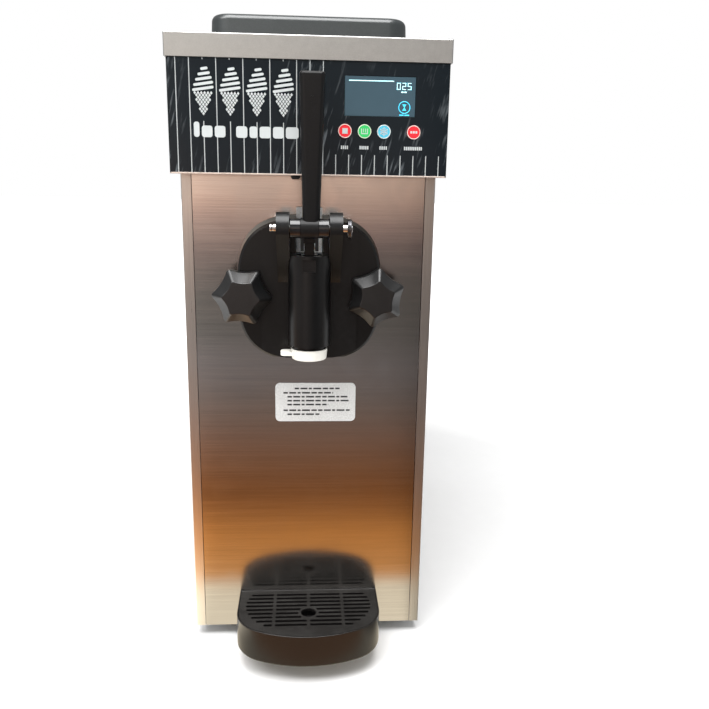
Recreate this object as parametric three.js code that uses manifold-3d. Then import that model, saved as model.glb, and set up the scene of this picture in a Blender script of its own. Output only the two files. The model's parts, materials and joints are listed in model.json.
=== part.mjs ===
// A countertop soft-serve ice cream maker with one dispensing head: a sheet steel cabinet with an
// overhanging control hood, a mix hopper under a lift-off lid, a horizontal freezing cylinder with a
// belt-driven beater, a draw door held by two star knobs, and a drip tray. Millimetres, +Z up. The machine
// faces -Y and stands on z = 0, with the origin under the middle of its bounding box.
import * as THREE from "three";
import { mergeVertices } from "three/addons/utils/BufferGeometryUtils.js";
import Module from "manifold-3d";

const wasm = await Module();
wasm.setup();

// ---------------------------------------------------------------- driving dimensions, mm
const GAP = 0.3; // between pieces that touch or seat on each other
const RUN = 0.25; // radial clearance of a pin, plunger or peg in its hole
const SHEET = 1.2; // cabinet steel

const FOOT_HEIGHT = 14;
const FOOT_RADIUS = 15;
const FOOT_INSET = 35; // foot centre from the cabinet's edges

const BODY_WIDTH = 250;
const BODY_DEPTH = 470; // front panel's face to rear panel's face
const BODY_HEIGHT = 593; // panels, from their lower edge to the top cover's lip
const FLANGE = 10; // side panel's return across the front and rear
const SEAM = 0.6; // open seam beside the front panel
const PAN_WALL = 25; // upturned edge of the base pan

const HOOD_DEPTH = 46.7; // hood's steel in front of the front panel
const HOOD_HEIGHT = 100;
const HOOD_WRAP = 14; // how far the hood's cheeks reach back over the side panels
const FASCIA_THICK = 2;
const COVER_LIP = 20.5;
const COVER_OVERHANG = 2;

const DISPLAY_WIDTH = 63.7;
const DISPLAY_HEIGHT = 34;
const DISPLAY_X = 63.3;
const DISPLAY_DROP = 29.6; // display's centre below the hood's top
const KEY_RADIUS = 6.2;
const KEY_LENGTH = 4;
const KEY_XS = { stop_key: 31.9, clean_key: 49.7, cold_key: 67.4, set_key: 94.7 };
const KEY_DROP = 60; // keys' centres below the hood's top
const KEY_PROUD = 0.4;
const BOARD_MARGIN = 22;
const BOARD_THICK = 1.6;
const SENSOR_X = -13;
const SENSOR_Y = -38;
const SENSOR_RADIUS = 4.5;
const SENSOR_HEIGHT = 3.5;

const HOPPER_SIDE_MARGIN = 36.2; // cabinet's edge to the hopper's inner wall
const HOPPER_FRONT = 58; // front panel to the hopper's inner front wall
const HOPPER_LENGTH = 238;
const HOPPER_WALL = 1.5;
const HOPPER_RIM = 12; // hopper's wall above the top cover
const HOPPER_LEDGE = 4; // hopper's flange on the top cover
const HOPPER_CORNER = 16;
const LID_SKIRT = 3; // lid's inner wall outside the hopper's ledge
const LID_WALL = 2.6;
const LID_HEIGHT = 35;
const LID_EDGE = 5;
const FEED_RADIUS = 10; // feed port from the hopper into the cylinder
const FEED_WALL = 2;
const FEED_SETBACK = 42; // feed port behind the hopper's front wall
const AIR_TUBE_RADIUS = 8.5;
const AIR_TUBE_WALL = 1.5;
const AIR_TUBE_COLLAR = 12.5;
const AIR_TUBE_RISE = 104;

const CYLINDER_BORE = 47.5;
const CYLINDER_LENGTH = 222; // front ring's face to the end plate
const CYLINDER_WALL = 2.5;
const CYLINDER_RING = 7.5; // width of the sealing ring at the cylinder's mouth
const RING_OUT = 3; // sealing ring in front of the front panel
const FLANGE_THICK = 4;
const JACKET = 8; // evaporator jacket round the cylinder
const END_PLATE = 5;
const FOAM = 22; // insulation round the jacket
const SHAFT_RADIUS = 8;
const SEAL_WIDTH = 7;
const BEATER_CLEARANCE = 1;
const BEATER_TURNS = 3;
const BEATER_FLIGHT = 3.5;
const BEATER_JOURNAL = 6;

const DOOR_DROP = 109.5; // cylinder's axis below the hood
const DOOR_BORDER = 14.8; // door's rim outside the sealing ring
const DOOR_SQUARENESS = 2.9; // power of the door's rounded outline; 2 is a circle
const DOOR_THICK = 24.5;
const DOOR_FLARE = 2.5; // door's rear rim larger than its face
const DOOR_FOOT = 3.5; // flat cut across the door's lower edge
const DOOR_SLAB_WIDTH = 93;
const DOOR_SLAB = 3; // raised band down the middle of the door
const GASKET_SECTION = 3;
const STUD_RADIUS = 4;
const STUD_DROP = 4; // studs below the cylinder's axis
const STUD_OUT = 9.3; // stud's centre outside the sealing ring
const STUD_LENGTH = 46; // in front of the front panel
const EAR_RADIUS = 14;
const KNOB_TIP = 29.6;
const KNOB_VALLEY = 22.4;
const KNOB_POINTS = 6;
const KNOB_DEPTH = 23;
const KNOB_NECK = 11;
const KNOB_NECK_LENGTH = 8;
const KNOB_TURNS = { left_knob: -4, right_knob: 23 }; // degrees of each star as tightened

const NOZZLE_OUT = 46; // nozzle's axis in front of the front panel
const VALVE_RADIUS = 20.4;
const VALVE_RISE = 37; // valve body's top above the cylinder's axis
const VALVE_FALL = 49; // valve body's bottom below it
const PLUNGER_RADIUS = 12.2;
const PLUNGER_RISE = 20; // plunger's top above the cylinder's axis
const PLUNGER_FALL = 44;
const NECK_WIDTH = 9.2;
const HEAD_WIDTH = 16.4;
const HEAD_HEIGHT = 6;
const HEAD_FRONT = 8; // plunger head in front of and behind its axis
const O_RING = 1.1; // section radius
const O_RING_GROOVE = 2.6;
const SPOUT_RADIUS = 15.5;
const SPOUT_LENGTH = 11;
const CAP_WALL = 1.8;
const CAP_HEIGHT = 10.5;
const CAP_DROP = 14.2; // cap's underside below the valve body
const CAP_TAB = 10;

const PIVOT_AHEAD = 20; // handle's pivot in front of the nozzle's axis
const PIVOT_RISE = 63; // pivot above the cylinder's axis
const PIN_RADIUS = 3.75;
const PIN_HEAD_RADIUS = 9.4;
const PIN_HEAD = 5;
const PIN_END = 6; // pin outside each arm, before its head on the right
const ARM_RADIUS = 14.5;
const ARM_THICK = 11.8;
const ARM_FOOT = 9; // arms' lower ends above the cylinder's axis
const HUB_RADIUS = 9.6;
const HUB_LENGTH = 36;
const HANDLE_LENGTH = 134; // pivot to tip
const HANDLE_ROOT = 16.2; // width at the hub
const HANDLE_TIP = 24.4; // width near the top
const HANDLE_THICK = 14;
const HANDLE_LEAN = 4; // degrees forward of upright
const FINGER_THICK = 5.5; // lifting finger's depth under the plunger's head
const FINGER_REACH = 22; // behind the pivot

const TRAY_WIDTH = 151;
const TRAY_DEPTH = 90;
const TRAY_HEIGHT = 34.5;
const TRAY_LIFT = 8; // tray's underside above the cabinet's lower edge
const TRAY_FRONT_RADIUS = 124;
const TRAY_CORNER = 40;
const TRAY_WALL = 3.2;
const GRILLE_THICK = 3;
const GRILLE_RIM = 1.3; // tray wall left outside the grille
const SLOT_ROWS = 9;
const SLOT_PITCH = 7.1;
const SLOT_WIDTH = 3.6;
const SLOT_FIRST = 11; // first row in front of the front panel
const SLOT_FIELD = { half: 67, reach: 51, middle: 31 }; // the oval that the slots fill
const RIB_WIDTH = 3;
const RIB_SPACING = 36.2;
const DRAIN_RADIUS = 8;
const DRAIN_RING = 10.7;
const TAB_WIDTH = 18;
const TAB_THICK = 2.5;
const TAB_LENGTH = 9;
const TAB_SPACING = 90;

const NOTE_LABEL = { width: 84, height: 42, x: 7, drop: 122, thick: 0.4 };
// open pocket in the door's top, and the wall left behind it
const NOTCH = { half: 13.2, rise: 35.5, floor: 6 };
const NOTCH_PLATE = { half: 12.8, top: 79.5, thick: 1.6 }; // white plate standing in the pocket

const GEARBOX = { width: 96, height: 92, depth: 58 };
const FRAME = { half: 56, depth: 54, plate: 3 }; // stand of the beater's motor and gearbox
const PULLEY_RADIUS = 46;
const PULLEY_WIDTH = 14;
const BELT_WIDTH = 8;
const BELT_THICK = 4;
const MOTOR_PULLEY_RADIUS = 18;
const MOTOR_RADIUS = 43;
const MOTOR_LENGTH = 112;
const MOTOR_DROP = 136; // motor's axis below the cylinder's
const MOTOR_SHAFT = 6.75;
const COMPRESSOR = { radius: 62, height: 168, y: 108, x: 28 };
const CONDENSER_DEPTH = 46;
const CONDENSER_HEIGHT = 172;
const CONDENSER_MARGIN = 25;
const REAR_ROOM = 14;
const FAN_RADIUS = 74;
const FAN_BLADES = 5;
const FAN_HUB = 15;
const SHROUD_DEPTH = 24;
const FAN_MOTOR = { radius: 24, length: 40 };
const PIPE_RADIUS = 4;
const PIPE_GAP = 3.6; // pipe's end to the shell it is brazed into
const DRIER = { radius: 10, length: 84 };
const POWER_BOX = { width: 60, depth: 96, height: 74 };
const INLET = { width: 30, height: 22, depth: 24, x: 78, rise: 246 };
const VENT = { rows: 10, pitch: 15, width: 68, height: 6, columns: 2, gap: 14, rise: 60 };

// ---------------------------------------------------------------- places worked out from them
const bodyBottom = FOOT_HEIGHT;
const bodyTop = bodyBottom + BODY_HEIGHT;
const coverTop = bodyTop + COVER_LIP;
const halfWidth = BODY_WIDTH / 2;
const hoodBottom = bodyTop - HOOD_HEIGHT;
const axisZ = hoodBottom - DOOR_DROP;
const floorTop = bodyBottom + GAP + SHEET; // base pan's upper face
const ringRadius = CYLINDER_BORE + CYLINDER_RING;
const jacketRadius = CYLINDER_BORE + CYLINDER_WALL + JACKET;
const foamRadius = jacketRadius + FOAM;
const studX = ringRadius + STUD_OUT;
const studZ = axisZ - STUD_DROP;
const doorRadius = ringRadius + DOOR_BORDER;
const doorBack = -(RING_OUT + 0.8);
const doorFront = doorBack - DOOR_THICK;
const slabFront = doorFront - DOOR_SLAB;
const nozzleY = -NOZZLE_OUT;
const valveTop = axisZ + VALVE_RISE;
const valveBottom = axisZ - VALVE_FALL;
const pivotY = nozzleY - PIVOT_AHEAD;
const pivotZ = axisZ + PIVOT_RISE;
const headBottom = pivotZ - 14.5;
const armInner = HUB_LENGTH / 2 + GAP;
const armOuter = armInner + ARM_THICK;
const hopperBottom = axisZ + foamRadius + 9.5;
const hopperHalf = halfWidth - HOPPER_SIDE_MARGIN;
const hopperBack = HOPPER_FRONT + HOPPER_LENGTH;
const hopperRimTop = coverTop + HOPPER_RIM;
const feedY = HOPPER_FRONT + FEED_SETBACK;
const cylinderBack = CYLINDER_LENGTH - RING_OUT;
const gearboxFront = cylinderBack + END_PLATE + SEAL_WIDTH + 2 * GAP;
const gearboxBack = gearboxFront + GEARBOX.depth;
const pulleyY = gearboxBack + GAP + PULLEY_WIDTH / 2;
const motorZ = axisZ - MOTOR_DROP;
const condenserBack = BODY_DEPTH - REAR_ROOM;
const condenserFront = condenserBack - CONDENSER_DEPTH;
const shroudBack = condenserFront - GAP;
const fanZ = floorTop + 12 + CONDENSER_HEIGHT / 2;
const trayBottom = bodyBottom + TRAY_LIFT;
const trayTop = trayBottom + TRAY_HEIGHT;
const fasciaBack = -(HOOD_DEPTH + GAP);
const fasciaFront = fasciaBack - FASCIA_THICK;
const boardFront = fasciaFront + 13;
const rearMost = BODY_DEPTH + COVER_OVERHANG;

// ---------------------------------------------------------------- materials
const paint = (color, roughness, metalness) =>
  new THREE.MeshStandardMaterial({ color, roughness, metalness });
const steel = paint(0xb9b4ad, 0.32, 1);
const bright = paint(0xd8d8d8, 0.12, 1);
const galvanised = paint(0x9a9d9f, 0.5, 0.9);
const blackPlastic = paint(0x1b1b1c, 0.45, 0);
const blackGloss = paint(0x0f1215, 0.15, 0);
const rubber = paint(0x161616, 0.85, 0);
const milky = paint(0xe9e6dd, 0.4, 0);
const glassBlue = paint(0x3d5560, 0.1, 0);
const keyRed = paint(0xe0202a, 0.35, 0);
const keyGreen = paint(0x23b455, 0.35, 0);
const keyBlue = paint(0x45b5cf, 0.35, 0);
const foamGrey = paint(0x3a3c3f, 0.95, 0);
const circuit = paint(0x1f5a35, 0.5, 0.1);
const enamel = paint(0x202224, 0.35, 0.2);
const copper = paint(0xb46a3c, 0.3, 1);
const fins = paint(0xa6abae, 0.45, 0.9);
const paper = paint(0xdcdbd6, 0.55, 0);

// ---------------------------------------------------------------- solids
// A three.js geometry as a manifold solid: vertices merged by place, collapsed triangles dropped.
function solid(geometry) {
  const bare = new THREE.BufferGeometry().setAttribute("position", geometry.getAttribute("position"));
  if (geometry.index) bare.setIndex(geometry.index);
  const merged = mergeVertices(bare, 1e-4);
  const index = merged.index.array;
  const faces = [];
  for (let i = 0; i < index.length; i += 3) {
    const [a, b, c] = [index[i], index[i + 1], index[i + 2]];
    if (a !== b && b !== c && a !== c) faces.push(a, b, c);
  }
  const vertProperties = new Float32Array(merged.attributes.position.array);
  return new wasm.Manifold(new wasm.Mesh({ numProp: 3, vertProperties, triVerts: new Uint32Array(faces) }));
}

function geometryOf(manifold) {
  const mesh = manifold.getMesh();
  const places = new Float32Array(mesh.numVert * 3);
  for (let i = 0; i < mesh.numVert; i++) {
    places.set(mesh.vertProperties.subarray(i * mesh.numProp, i * mesh.numProp + 3), i * 3);
  }
  const geometry = new THREE.BufferGeometry();
  geometry.setAttribute("position", new THREE.BufferAttribute(places, 3));
  geometry.setIndex(new THREE.BufferAttribute(mesh.triVerts, 1));
  geometry.computeVertexNormals();
  return geometry;
}

const join = (...solids) => solids.reduce((a, b) => a.add(b));
const cut = (whole, ...tools) => tools.reduce((a, b) => a.subtract(b), whole);

// A block between two corners.
function block(x0, y0, z0, x1, y1, z1) {
  const geometry = new THREE.BoxGeometry(x1 - x0, y1 - y0, z1 - z0);
  geometry.translate((x0 + x1) / 2, (y0 + y1) / 2, (z0 + z1) / 2);
  return solid(geometry);
}

// A round bar along one axis ("x", "y" or "z") from one end to the other, about the other two coordinates.
function bar(axis, from, to, [u, v], radius, sides = 24, endRadius = radius) {
  const geometry = new THREE.CylinderGeometry(endRadius, radius, to - from, sides);
  geometry.translate(0, (from + to) / 2, 0);
  if (axis === "x") geometry.rotateZ(-Math.PI / 2).translate(0, u, v);
  if (axis === "y") geometry.translate(u, 0, v);
  if (axis === "z") geometry.rotateX(Math.PI / 2).translate(u, v, 0);
  return solid(geometry);
}

// A turned piece: profile points [radius, along], about the Y or Z axis through the other two coordinates.
function turned(axis, profile, [u, v], sides = 32) {
  const points = profile.map(([r, along]) => new THREE.Vector2(r, along));
  const geometry = new THREE.LatheGeometry(points, sides);
  if (axis === "y") geometry.translate(u, 0, v);
  if (axis === "z") geometry.rotateX(Math.PI / 2).translate(u, v, 0);
  return solid(geometry);
}

// A flat outline in X and Y raised from z0 to z1.
function raised(shape, z0, z1, curveSegments = 8) {
  const geometry = new THREE.ExtrudeGeometry(shape, { depth: z1 - z0, bevelEnabled: false, curveSegments });
  geometry.translate(0, 0, z0);
  return solid(geometry);
}

// A flat outline in Y (drawn as x) and Z (drawn as y), spread from x0 to x1.
function spread(shape, x0, x1, curveSegments = 8) {
  const geometry = new THREE.ExtrudeGeometry(shape, { depth: x1 - x0, bevelEnabled: false, curveSegments });
  geometry.rotateZ(Math.PI / 2).rotateY(Math.PI / 2).translate(x0, 0, 0);
  return solid(geometry);
}

// A flat outline in X and Z (drawn as y), reaching from y0 back to y1.
function stood(shape, y0, y1, curveSegments = 8) {
  const geometry = new THREE.ExtrudeGeometry(shape, { depth: y1 - y0, bevelEnabled: false, curveSegments });
  geometry.rotateX(Math.PI / 2).translate(0, y1, 0);
  return solid(geometry);
}

// A closed skin over outlines that stand one behind the other, from the rearmost forward. Each section is
// its place along Y and its points in X and Z, which are about x and z.
function lofted(sections, x, z) {
  const around = sections[0][1].length;
  const places = sections.flatMap(([y, points]) => points.flatMap(([u, v]) => [x + u, y, z + v]));
  const faces = [];
  for (let layer = 0; layer + 1 < sections.length; layer++) {
    for (let i = 0; i < around; i++) {
      const [a, b] = [layer * around + i, layer * around + ((i + 1) % around)];
      faces.push(a, b, b + around, a, b + around, a + around);
    }
  }
  const [rear, front] = [places.length / 3, places.length / 3 + 1];
  places.push(x, sections[0][0], z, x, sections.at(-1)[0], z);
  const last = (sections.length - 1) * around;
  for (let i = 0; i < around; i++) {
    const next = (i + 1) % around;
    faces.push(rear, next, i, front, last + i, last + next);
  }
  const geometry = new THREE.BufferGeometry();
  geometry.setAttribute("position", new THREE.BufferAttribute(new Float32Array(places), 3));
  geometry.setIndex(faces);
  return solid(geometry);
}

function roundedRectangle(x0, y0, x1, y1, r) {
  const shape = new THREE.Shape();
  shape.moveTo(x0 + r, y0);
  shape.lineTo(x1 - r, y0);
  shape.absarc(x1 - r, y0 + r, r, -Math.PI / 2, 0);
  shape.lineTo(x1, y1 - r);
  shape.absarc(x1 - r, y1 - r, r, 0, Math.PI / 2);
  shape.lineTo(x0 + r, y1);
  shape.absarc(x0 + r, y1 - r, r, Math.PI / 2, Math.PI);
  shape.lineTo(x0, y0 + r);
  shape.absarc(x0 + r, y0 + r, r, Math.PI, 1.5 * Math.PI);
  return shape;
}

// A bent tube or pipe through points.
function pipe(points, radius, steps, sides = 8) {
  const section = new THREE.Shape();
  for (let i = 0; i < sides; i++) {
    const turn = (2 * Math.PI * i) / sides;
    section[i ? "lineTo" : "moveTo"](radius * Math.cos(turn), radius * Math.sin(turn));
  }
  const route = points.map((p) => new THREE.Vector3(...p));
  const path = new THREE.CatmullRomCurve3(route, false, "catmullrom", 0.3);
  return solid(new THREE.ExtrudeGeometry(section, { steps, extrudePath: path }));
}

const machine = new THREE.Group();
function piece(name, shape, material) {
  const mesh = new THREE.Mesh(geometryOf(shape), material.clone());
  mesh.name = name;
  machine.add(mesh);
}

// ---------------------------------------------------------------- cabinet
function ventSlots(centre, sideways) {
  const slots = [];
  for (let row = 0; row < VENT.rows; row++) {
    for (let column = 0; column < VENT.columns; column++) {
      const along = centre + (column - (VENT.columns - 1) / 2) * (VENT.width + VENT.gap);
      const z = bodyBottom + VENT.rise + row * VENT.pitch;
      slots.push(sideways(along - VENT.width / 2, z, along + VENT.width / 2, z + VENT.height));
    }
  }
  return slots;
}

function basePan() {
  const [x, y0, y1] = [halfWidth - SHEET - GAP, SHEET + GAP, BODY_DEPTH - SHEET - GAP];
  const bottom = bodyBottom + GAP;
  const outer = block(-x, y0, bottom, x, y1, bottom + PAN_WALL);
  const inner = block(-x + SHEET, y0 + SHEET, floorTop, x - SHEET, y1 - SHEET, bottom + PAN_WALL + 1);
  piece("base_pan", cut(outer, inner), galvanised);
}

function feet() {
  const [x, rear] = [halfWidth - FOOT_INSET, BODY_DEPTH - FOOT_INSET];
  const places = {
    front_left: [-x, FOOT_INSET],
    front_right: [x, FOOT_INSET],
    rear_left: [-x, rear],
    rear_right: [x, rear],
  };
  for (const [corner, at] of Object.entries(places)) {
    const profile = [
      [0, 0],
      [FOOT_RADIUS - 2, 0],
      [FOOT_RADIUS, 3],
      [FOOT_RADIUS - 2, FOOT_HEIGHT],
      [0, FOOT_HEIGHT],
    ];
    piece("foot_" + corner, turned("z", profile, at, 20), rubber);
  }
}

function sidePanels() {
  const [x0, x1, inner] = [halfWidth - FLANGE, halfWidth, halfWidth - SHEET];
  const z = [bodyBottom, coverTop - SHEET - 2 * GAP];
  const sheet = block(inner, 0, z[0], x1, BODY_DEPTH, z[1]);
  const front = block(x0, 0, z[0], x1, SHEET, z[1]);
  const rear = block(x0, BODY_DEPTH - SHEET, z[0], x1, BODY_DEPTH, z[1]);
  const slot = (a, b, c, d) => block(inner - 2, a, b, x1 + 2, c, d);
  const panel = cut(join(sheet, front, rear), ...ventSlots(BODY_DEPTH - 140, slot));
  piece("right_side_panel", panel, steel);
  piece("left_side_panel", panel.mirror([1, 0, 0]), steel);
}

function frontPanel() {
  const x = halfWidth - FLANGE - SEAM;
  const sheet = block(-x, 0, bodyBottom, x, SHEET, coverTop - SHEET - 2 * GAP);
  const mouth = bar("y", -1, SHEET + 1, [0, axisZ], ringRadius + 0.8, 36);
  const studs = [-studX, studX].map((at) => bar("y", -1, SHEET + 1, [at, studZ], STUD_RADIUS + 1, 12));
  const tabZ = trayTop - GRILLE_THICK - 6;
  const slots = [-1, 1].map((side) => {
    const [at, half] = [(side * TAB_SPACING) / 2, TAB_WIDTH / 2 + 0.6];
    return block(at - half, -1, tabZ - TAB_THICK - 0.6, at + half, SHEET + 1, tabZ + 0.6);
  });
  piece("front_panel", cut(sheet, mouth, ...studs, ...slots), steel);
}

function rearPanel() {
  const x = halfWidth - FLANGE - SEAM;
  const sheet = block(-x, BODY_DEPTH - SHEET, bodyBottom, x, BODY_DEPTH, bodyTop - GAP);
  const slot = (a, b, c, d) => block(a, BODY_DEPTH - 3, b, c, BODY_DEPTH + 1, d);
  const [w, h] = [INLET.width / 2 + GAP, INLET.height / 2 + GAP];
  const z = bodyBottom + INLET.rise;
  const hole = block(INLET.x - w, BODY_DEPTH - 3, z - h, INLET.x + w, BODY_DEPTH + 1, z + h);
  piece("rear_panel", cut(sheet, hole, ...ventSlots(0, slot)), steel);
}

function topCover() {
  const x = halfWidth + COVER_OVERHANG + 1;
  const [front, back] = [fasciaFront - 1, rearMost];
  const outer = block(-x, front, bodyTop, x, back, coverTop);
  const inner = block(-x + SHEET, front + SHEET, bodyTop - 1, x - SHEET, back - SHEET, coverTop - SHEET);
  const margin = HOPPER_WALL + GAP;
  const [hx, hy0, hy1] = [hopperHalf + margin, HOPPER_FRONT - margin, hopperBack + margin];
  const mouth = roundedRectangle(-hx, hy0, hx, hy1, HOPPER_CORNER + margin);
  const opening = raised(mouth, coverTop - 5, coverTop + 1, 4);
  piece("top_cover", cut(outer, inner, opening), steel);
}

// ---------------------------------------------------------------- control hood
function hoodShell() {
  const x = halfWidth + GAP + SHEET;
  const top = bodyTop - GAP;
  const outer = block(-x, -HOOD_DEPTH, hoodBottom, x, HOOD_WRAP, top);
  const inner = block(-x + SHEET, -HOOD_DEPTH + SHEET, hoodBottom + SHEET, x - SHEET, HOOD_WRAP + 1, top + 1);
  const under = block(-x + SHEET, -GAP, hoodBottom - 1, x - SHEET, HOOD_WRAP + 1, hoodBottom + SHEET + 1);
  const [w, h] = [DISPLAY_WIDTH / 2 + 6, DISPLAY_HEIGHT / 2 + 3];
  const displayZ = bodyTop - DISPLAY_DROP;
  const keyZ = bodyTop - KEY_DROP;
  const y = [-HOOD_DEPTH - 1, -HOOD_DEPTH + SHEET + 1];
  const window = block(DISPLAY_X - w, y[0], displayZ - h, DISPLAY_X + w, y[1], displayZ + h);
  const keyHoles = Object.values(KEY_XS).map((at) => bar("y", ...y, [at, keyZ], KEY_RADIUS + 1, 16));
  const pegRadius = SENSOR_RADIUS / 2 + RUN;
  const peg = bar("z", hoodBottom - 1, hoodBottom + SHEET + 1, [SENSOR_X, SENSOR_Y], pegRadius, 12);
  piece("hood_shell", cut(outer, inner, under, window, peg, ...keyHoles), steel);
}

function fascia() {
  const x = halfWidth + GAP + SHEET - 0.4;
  const outline = roundedRectangle(-x, hoodBottom + 0.4, x, bodyTop - GAP, 1.5);
  const plate = stood(outline, fasciaFront, fasciaBack, 3);
  const [w, h] = [DISPLAY_WIDTH / 2 + GAP, DISPLAY_HEIGHT / 2 + GAP];
  const displayZ = bodyTop - DISPLAY_DROP;
  const y = [fasciaFront - 1, fasciaBack + 1];
  const window = block(DISPLAY_X - w, y[0], displayZ - h, DISPLAY_X + w, y[1], displayZ + h);
  const keyZ = bodyTop - KEY_DROP;
  const keyHoles = Object.values(KEY_XS).map((at) => bar("y", ...y, [at, keyZ], KEY_RADIUS + RUN, 28));
  piece("fascia_panel", cut(plate, window, ...keyHoles), blackGloss);
}

function controls() {
  const displayZ = bodyTop - DISPLAY_DROP;
  const [w, h] = [DISPLAY_WIDTH / 2, DISPLAY_HEIGHT / 2];
  const [low, high] = [displayZ - h, displayZ + h];
  const screen = block(DISPLAY_X - w, fasciaFront + 0.2, low, DISPLAY_X + w, boardFront - GAP, high);
  piece("display_module", screen, glassBlue);
  const paints = { stop_key: keyRed, clean_key: keyGreen, cold_key: keyBlue, set_key: keyRed };
  for (const [name, at] of Object.entries(KEY_XS)) {
    const front = fasciaFront - KEY_PROUD;
    piece(name, bar("y", front, front + KEY_LENGTH, [at, bodyTop - KEY_DROP], KEY_RADIUS, 28), paints[name]);
  }
  const x = halfWidth - BOARD_MARGIN;
  const z = [hoodBottom + 12, bodyTop - 8];
  piece("control_board", block(-20, boardFront, z[0], x, boardFront + BOARD_THICK, z[1]), circuit);
  const dome = [
    [0, -SENSOR_HEIGHT],
    [SENSOR_RADIUS - 1.5, -SENSOR_HEIGHT],
    [SENSOR_RADIUS, -SENSOR_HEIGHT + 2],
  ];
  const stem = [
    [SENSOR_RADIUS, -GAP],
    [SENSOR_RADIUS / 2, -GAP],
    [SENSOR_RADIUS / 2, SHEET + 3],
    [0, SHEET + 3],
  ];
  const profile = [...dome, ...stem].map(([r, z]) => [r, z + hoodBottom]);
  piece("draw_sensor", turned("z", profile, [SENSOR_X, SENSOR_Y], 16), rubber);
}

function label() {
  const { width, height, x, drop, thick } = NOTE_LABEL;
  const z = axisZ - drop;
  const outline = roundedRectangle(x - width / 2, z - height / 2, x + width / 2, z + height / 2, 5);
  piece("note_label", stood(outline, -GAP - thick, -GAP, 4), paper);
}

// ---------------------------------------------------------------- hopper
function hopper() {
  const shell = (grow, z0, z1) => {
    const [x, y0, y1] = [hopperHalf + grow, HOPPER_FRONT - grow, hopperBack + grow];
    return raised(roundedRectangle(-x, y0, x, y1, HOPPER_CORNER + grow), z0, z1, 4);
  };
  const tank = shell(HOPPER_WALL, hopperBottom, hopperRimTop);
  const ledge = shell(HOPPER_WALL + HOPPER_LEDGE, coverTop + GAP, coverTop + GAP + SHEET);
  const hollow = shell(0, hopperBottom + HOPPER_WALL, hopperRimTop + 1);
  const portRadius = FEED_RADIUS + FEED_WALL;
  const spout = bar("z", axisZ + CYLINDER_BORE + 3, hopperBottom + 1, [0, feedY], portRadius, 20);
  const port = bar("z", axisZ, hopperBottom + HOPPER_WALL + 1, [0, feedY], FEED_RADIUS, 20);
  piece("hopper", cut(join(tank, ledge, spout), hollow, port), steel);
}

function hopperLid() {
  const skirt = HOPPER_WALL + HOPPER_LEDGE + LID_SKIRT;
  const outline = (grow) => {
    const [x, y0, y1] = [hopperHalf + grow, HOPPER_FRONT - grow, hopperBack + grow];
    return roundedRectangle(-x, y0, x, y1, HOPPER_CORNER + Math.min(grow, 4));
  };
  const bottom = coverTop + GAP;
  const top = bottom + LID_HEIGHT;
  const lower = raised(outline(skirt + LID_WALL), bottom, top - LID_EDGE, 4);
  const shoulder = outline(skirt + LID_WALL - LID_EDGE * 0.3);
  const bevel = raised(shoulder, top - LID_EDGE - 0.1, top - LID_EDGE * 0.4, 4);
  const crown = raised(outline(skirt + LID_WALL - LID_EDGE), top - LID_EDGE, top, 4);
  const hollow = raised(outline(skirt), bottom - 1, top - LID_EDGE - LID_WALL, 4);
  piece("hopper_lid", cut(join(lower, bevel, crown), hollow), blackPlastic);
}

function airTube() {
  const bottom = axisZ + CYLINDER_BORE + 6;
  const collar = hopperBottom + HOPPER_WALL + GAP;
  const top = collar + AIR_TUBE_RISE;
  const outer = [
    [0, bottom],
    [AIR_TUBE_RADIUS, bottom],
    [AIR_TUBE_RADIUS, collar],
    [AIR_TUBE_COLLAR, collar],
  ];
  const rest = [
    [AIR_TUBE_COLLAR, collar + 4],
    [AIR_TUBE_RADIUS, collar + 8],
    [AIR_TUBE_RADIUS, top],
    [0, top],
  ];
  const rod = turned("z", [...outer, ...rest], [0, feedY], 20);
  const bore = bar("z", bottom - 1, top + 1, [0, feedY], AIR_TUBE_RADIUS - AIR_TUBE_WALL, 20);
  const inlet = bar("x", -20, 20, [feedY, collar + 12], 2.5, 10);
  piece("air_tube", cut(rod, bore, inlet), milky);
}

// ---------------------------------------------------------------- freezing cylinder and its drive
function freezingCylinder() {
  const flangeFront = SHEET + GAP;
  const tube = bar("y", -RING_OUT, cylinderBack + END_PLATE, [0, axisZ], CYLINDER_BORE + CYLINDER_WALL, 36);
  const ring = bar("y", -RING_OUT, flangeFront + FLANGE_THICK, [0, axisZ], ringRadius, 36);
  const jacket = bar("y", flangeFront + FLANGE_THICK + 8, cylinderBack - 8, [0, axisZ], jacketRadius, 36);
  const reach = studX + 10;
  const plate = roundedRectangle(-reach, axisZ - ringRadius - 4, reach, axisZ + ringRadius + 4, 12);
  const flange = stood(plate, flangeFront, flangeFront + FLANGE_THICK, 4);
  const bore = bar("y", -RING_OUT - 1, cylinderBack, [0, axisZ], CYLINDER_BORE, 36);
  const plateEnds = [cylinderBack - 1, cylinderBack + END_PLATE + 1];
  const shaftHole = bar("y", ...plateEnds, [0, axisZ], SHAFT_RADIUS + RUN, 20);
  const port = bar("z", axisZ, axisZ + jacketRadius + 2, [0, feedY], FEED_RADIUS + FEED_WALL + GAP, 20);
  const studs = [-studX, studX].map((x) => bar("y", 0, 20, [x, studZ], STUD_RADIUS + RUN, 12));
  const whole = join(tube, ring, jacket, flange);
  piece("freezing_cylinder", cut(whole, bore, shaftHole, port, ...studs), steel);
}

function insulation() {
  const [front, back] = [SHEET + GAP + FLANGE_THICK + 1, cylinderBack - 2];
  const foam = bar("y", front, back, [0, axisZ], foamRadius, 32);
  const inside = bar("y", front - 1, back + 1, [0, axisZ], jacketRadius + GAP, 36);
  const port = bar("z", axisZ, axisZ + foamRadius + 2, [0, feedY], FEED_RADIUS + FEED_WALL + GAP, 20);
  piece("cylinder_insulation", cut(foam, inside, port), foamGrey);
}

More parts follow.
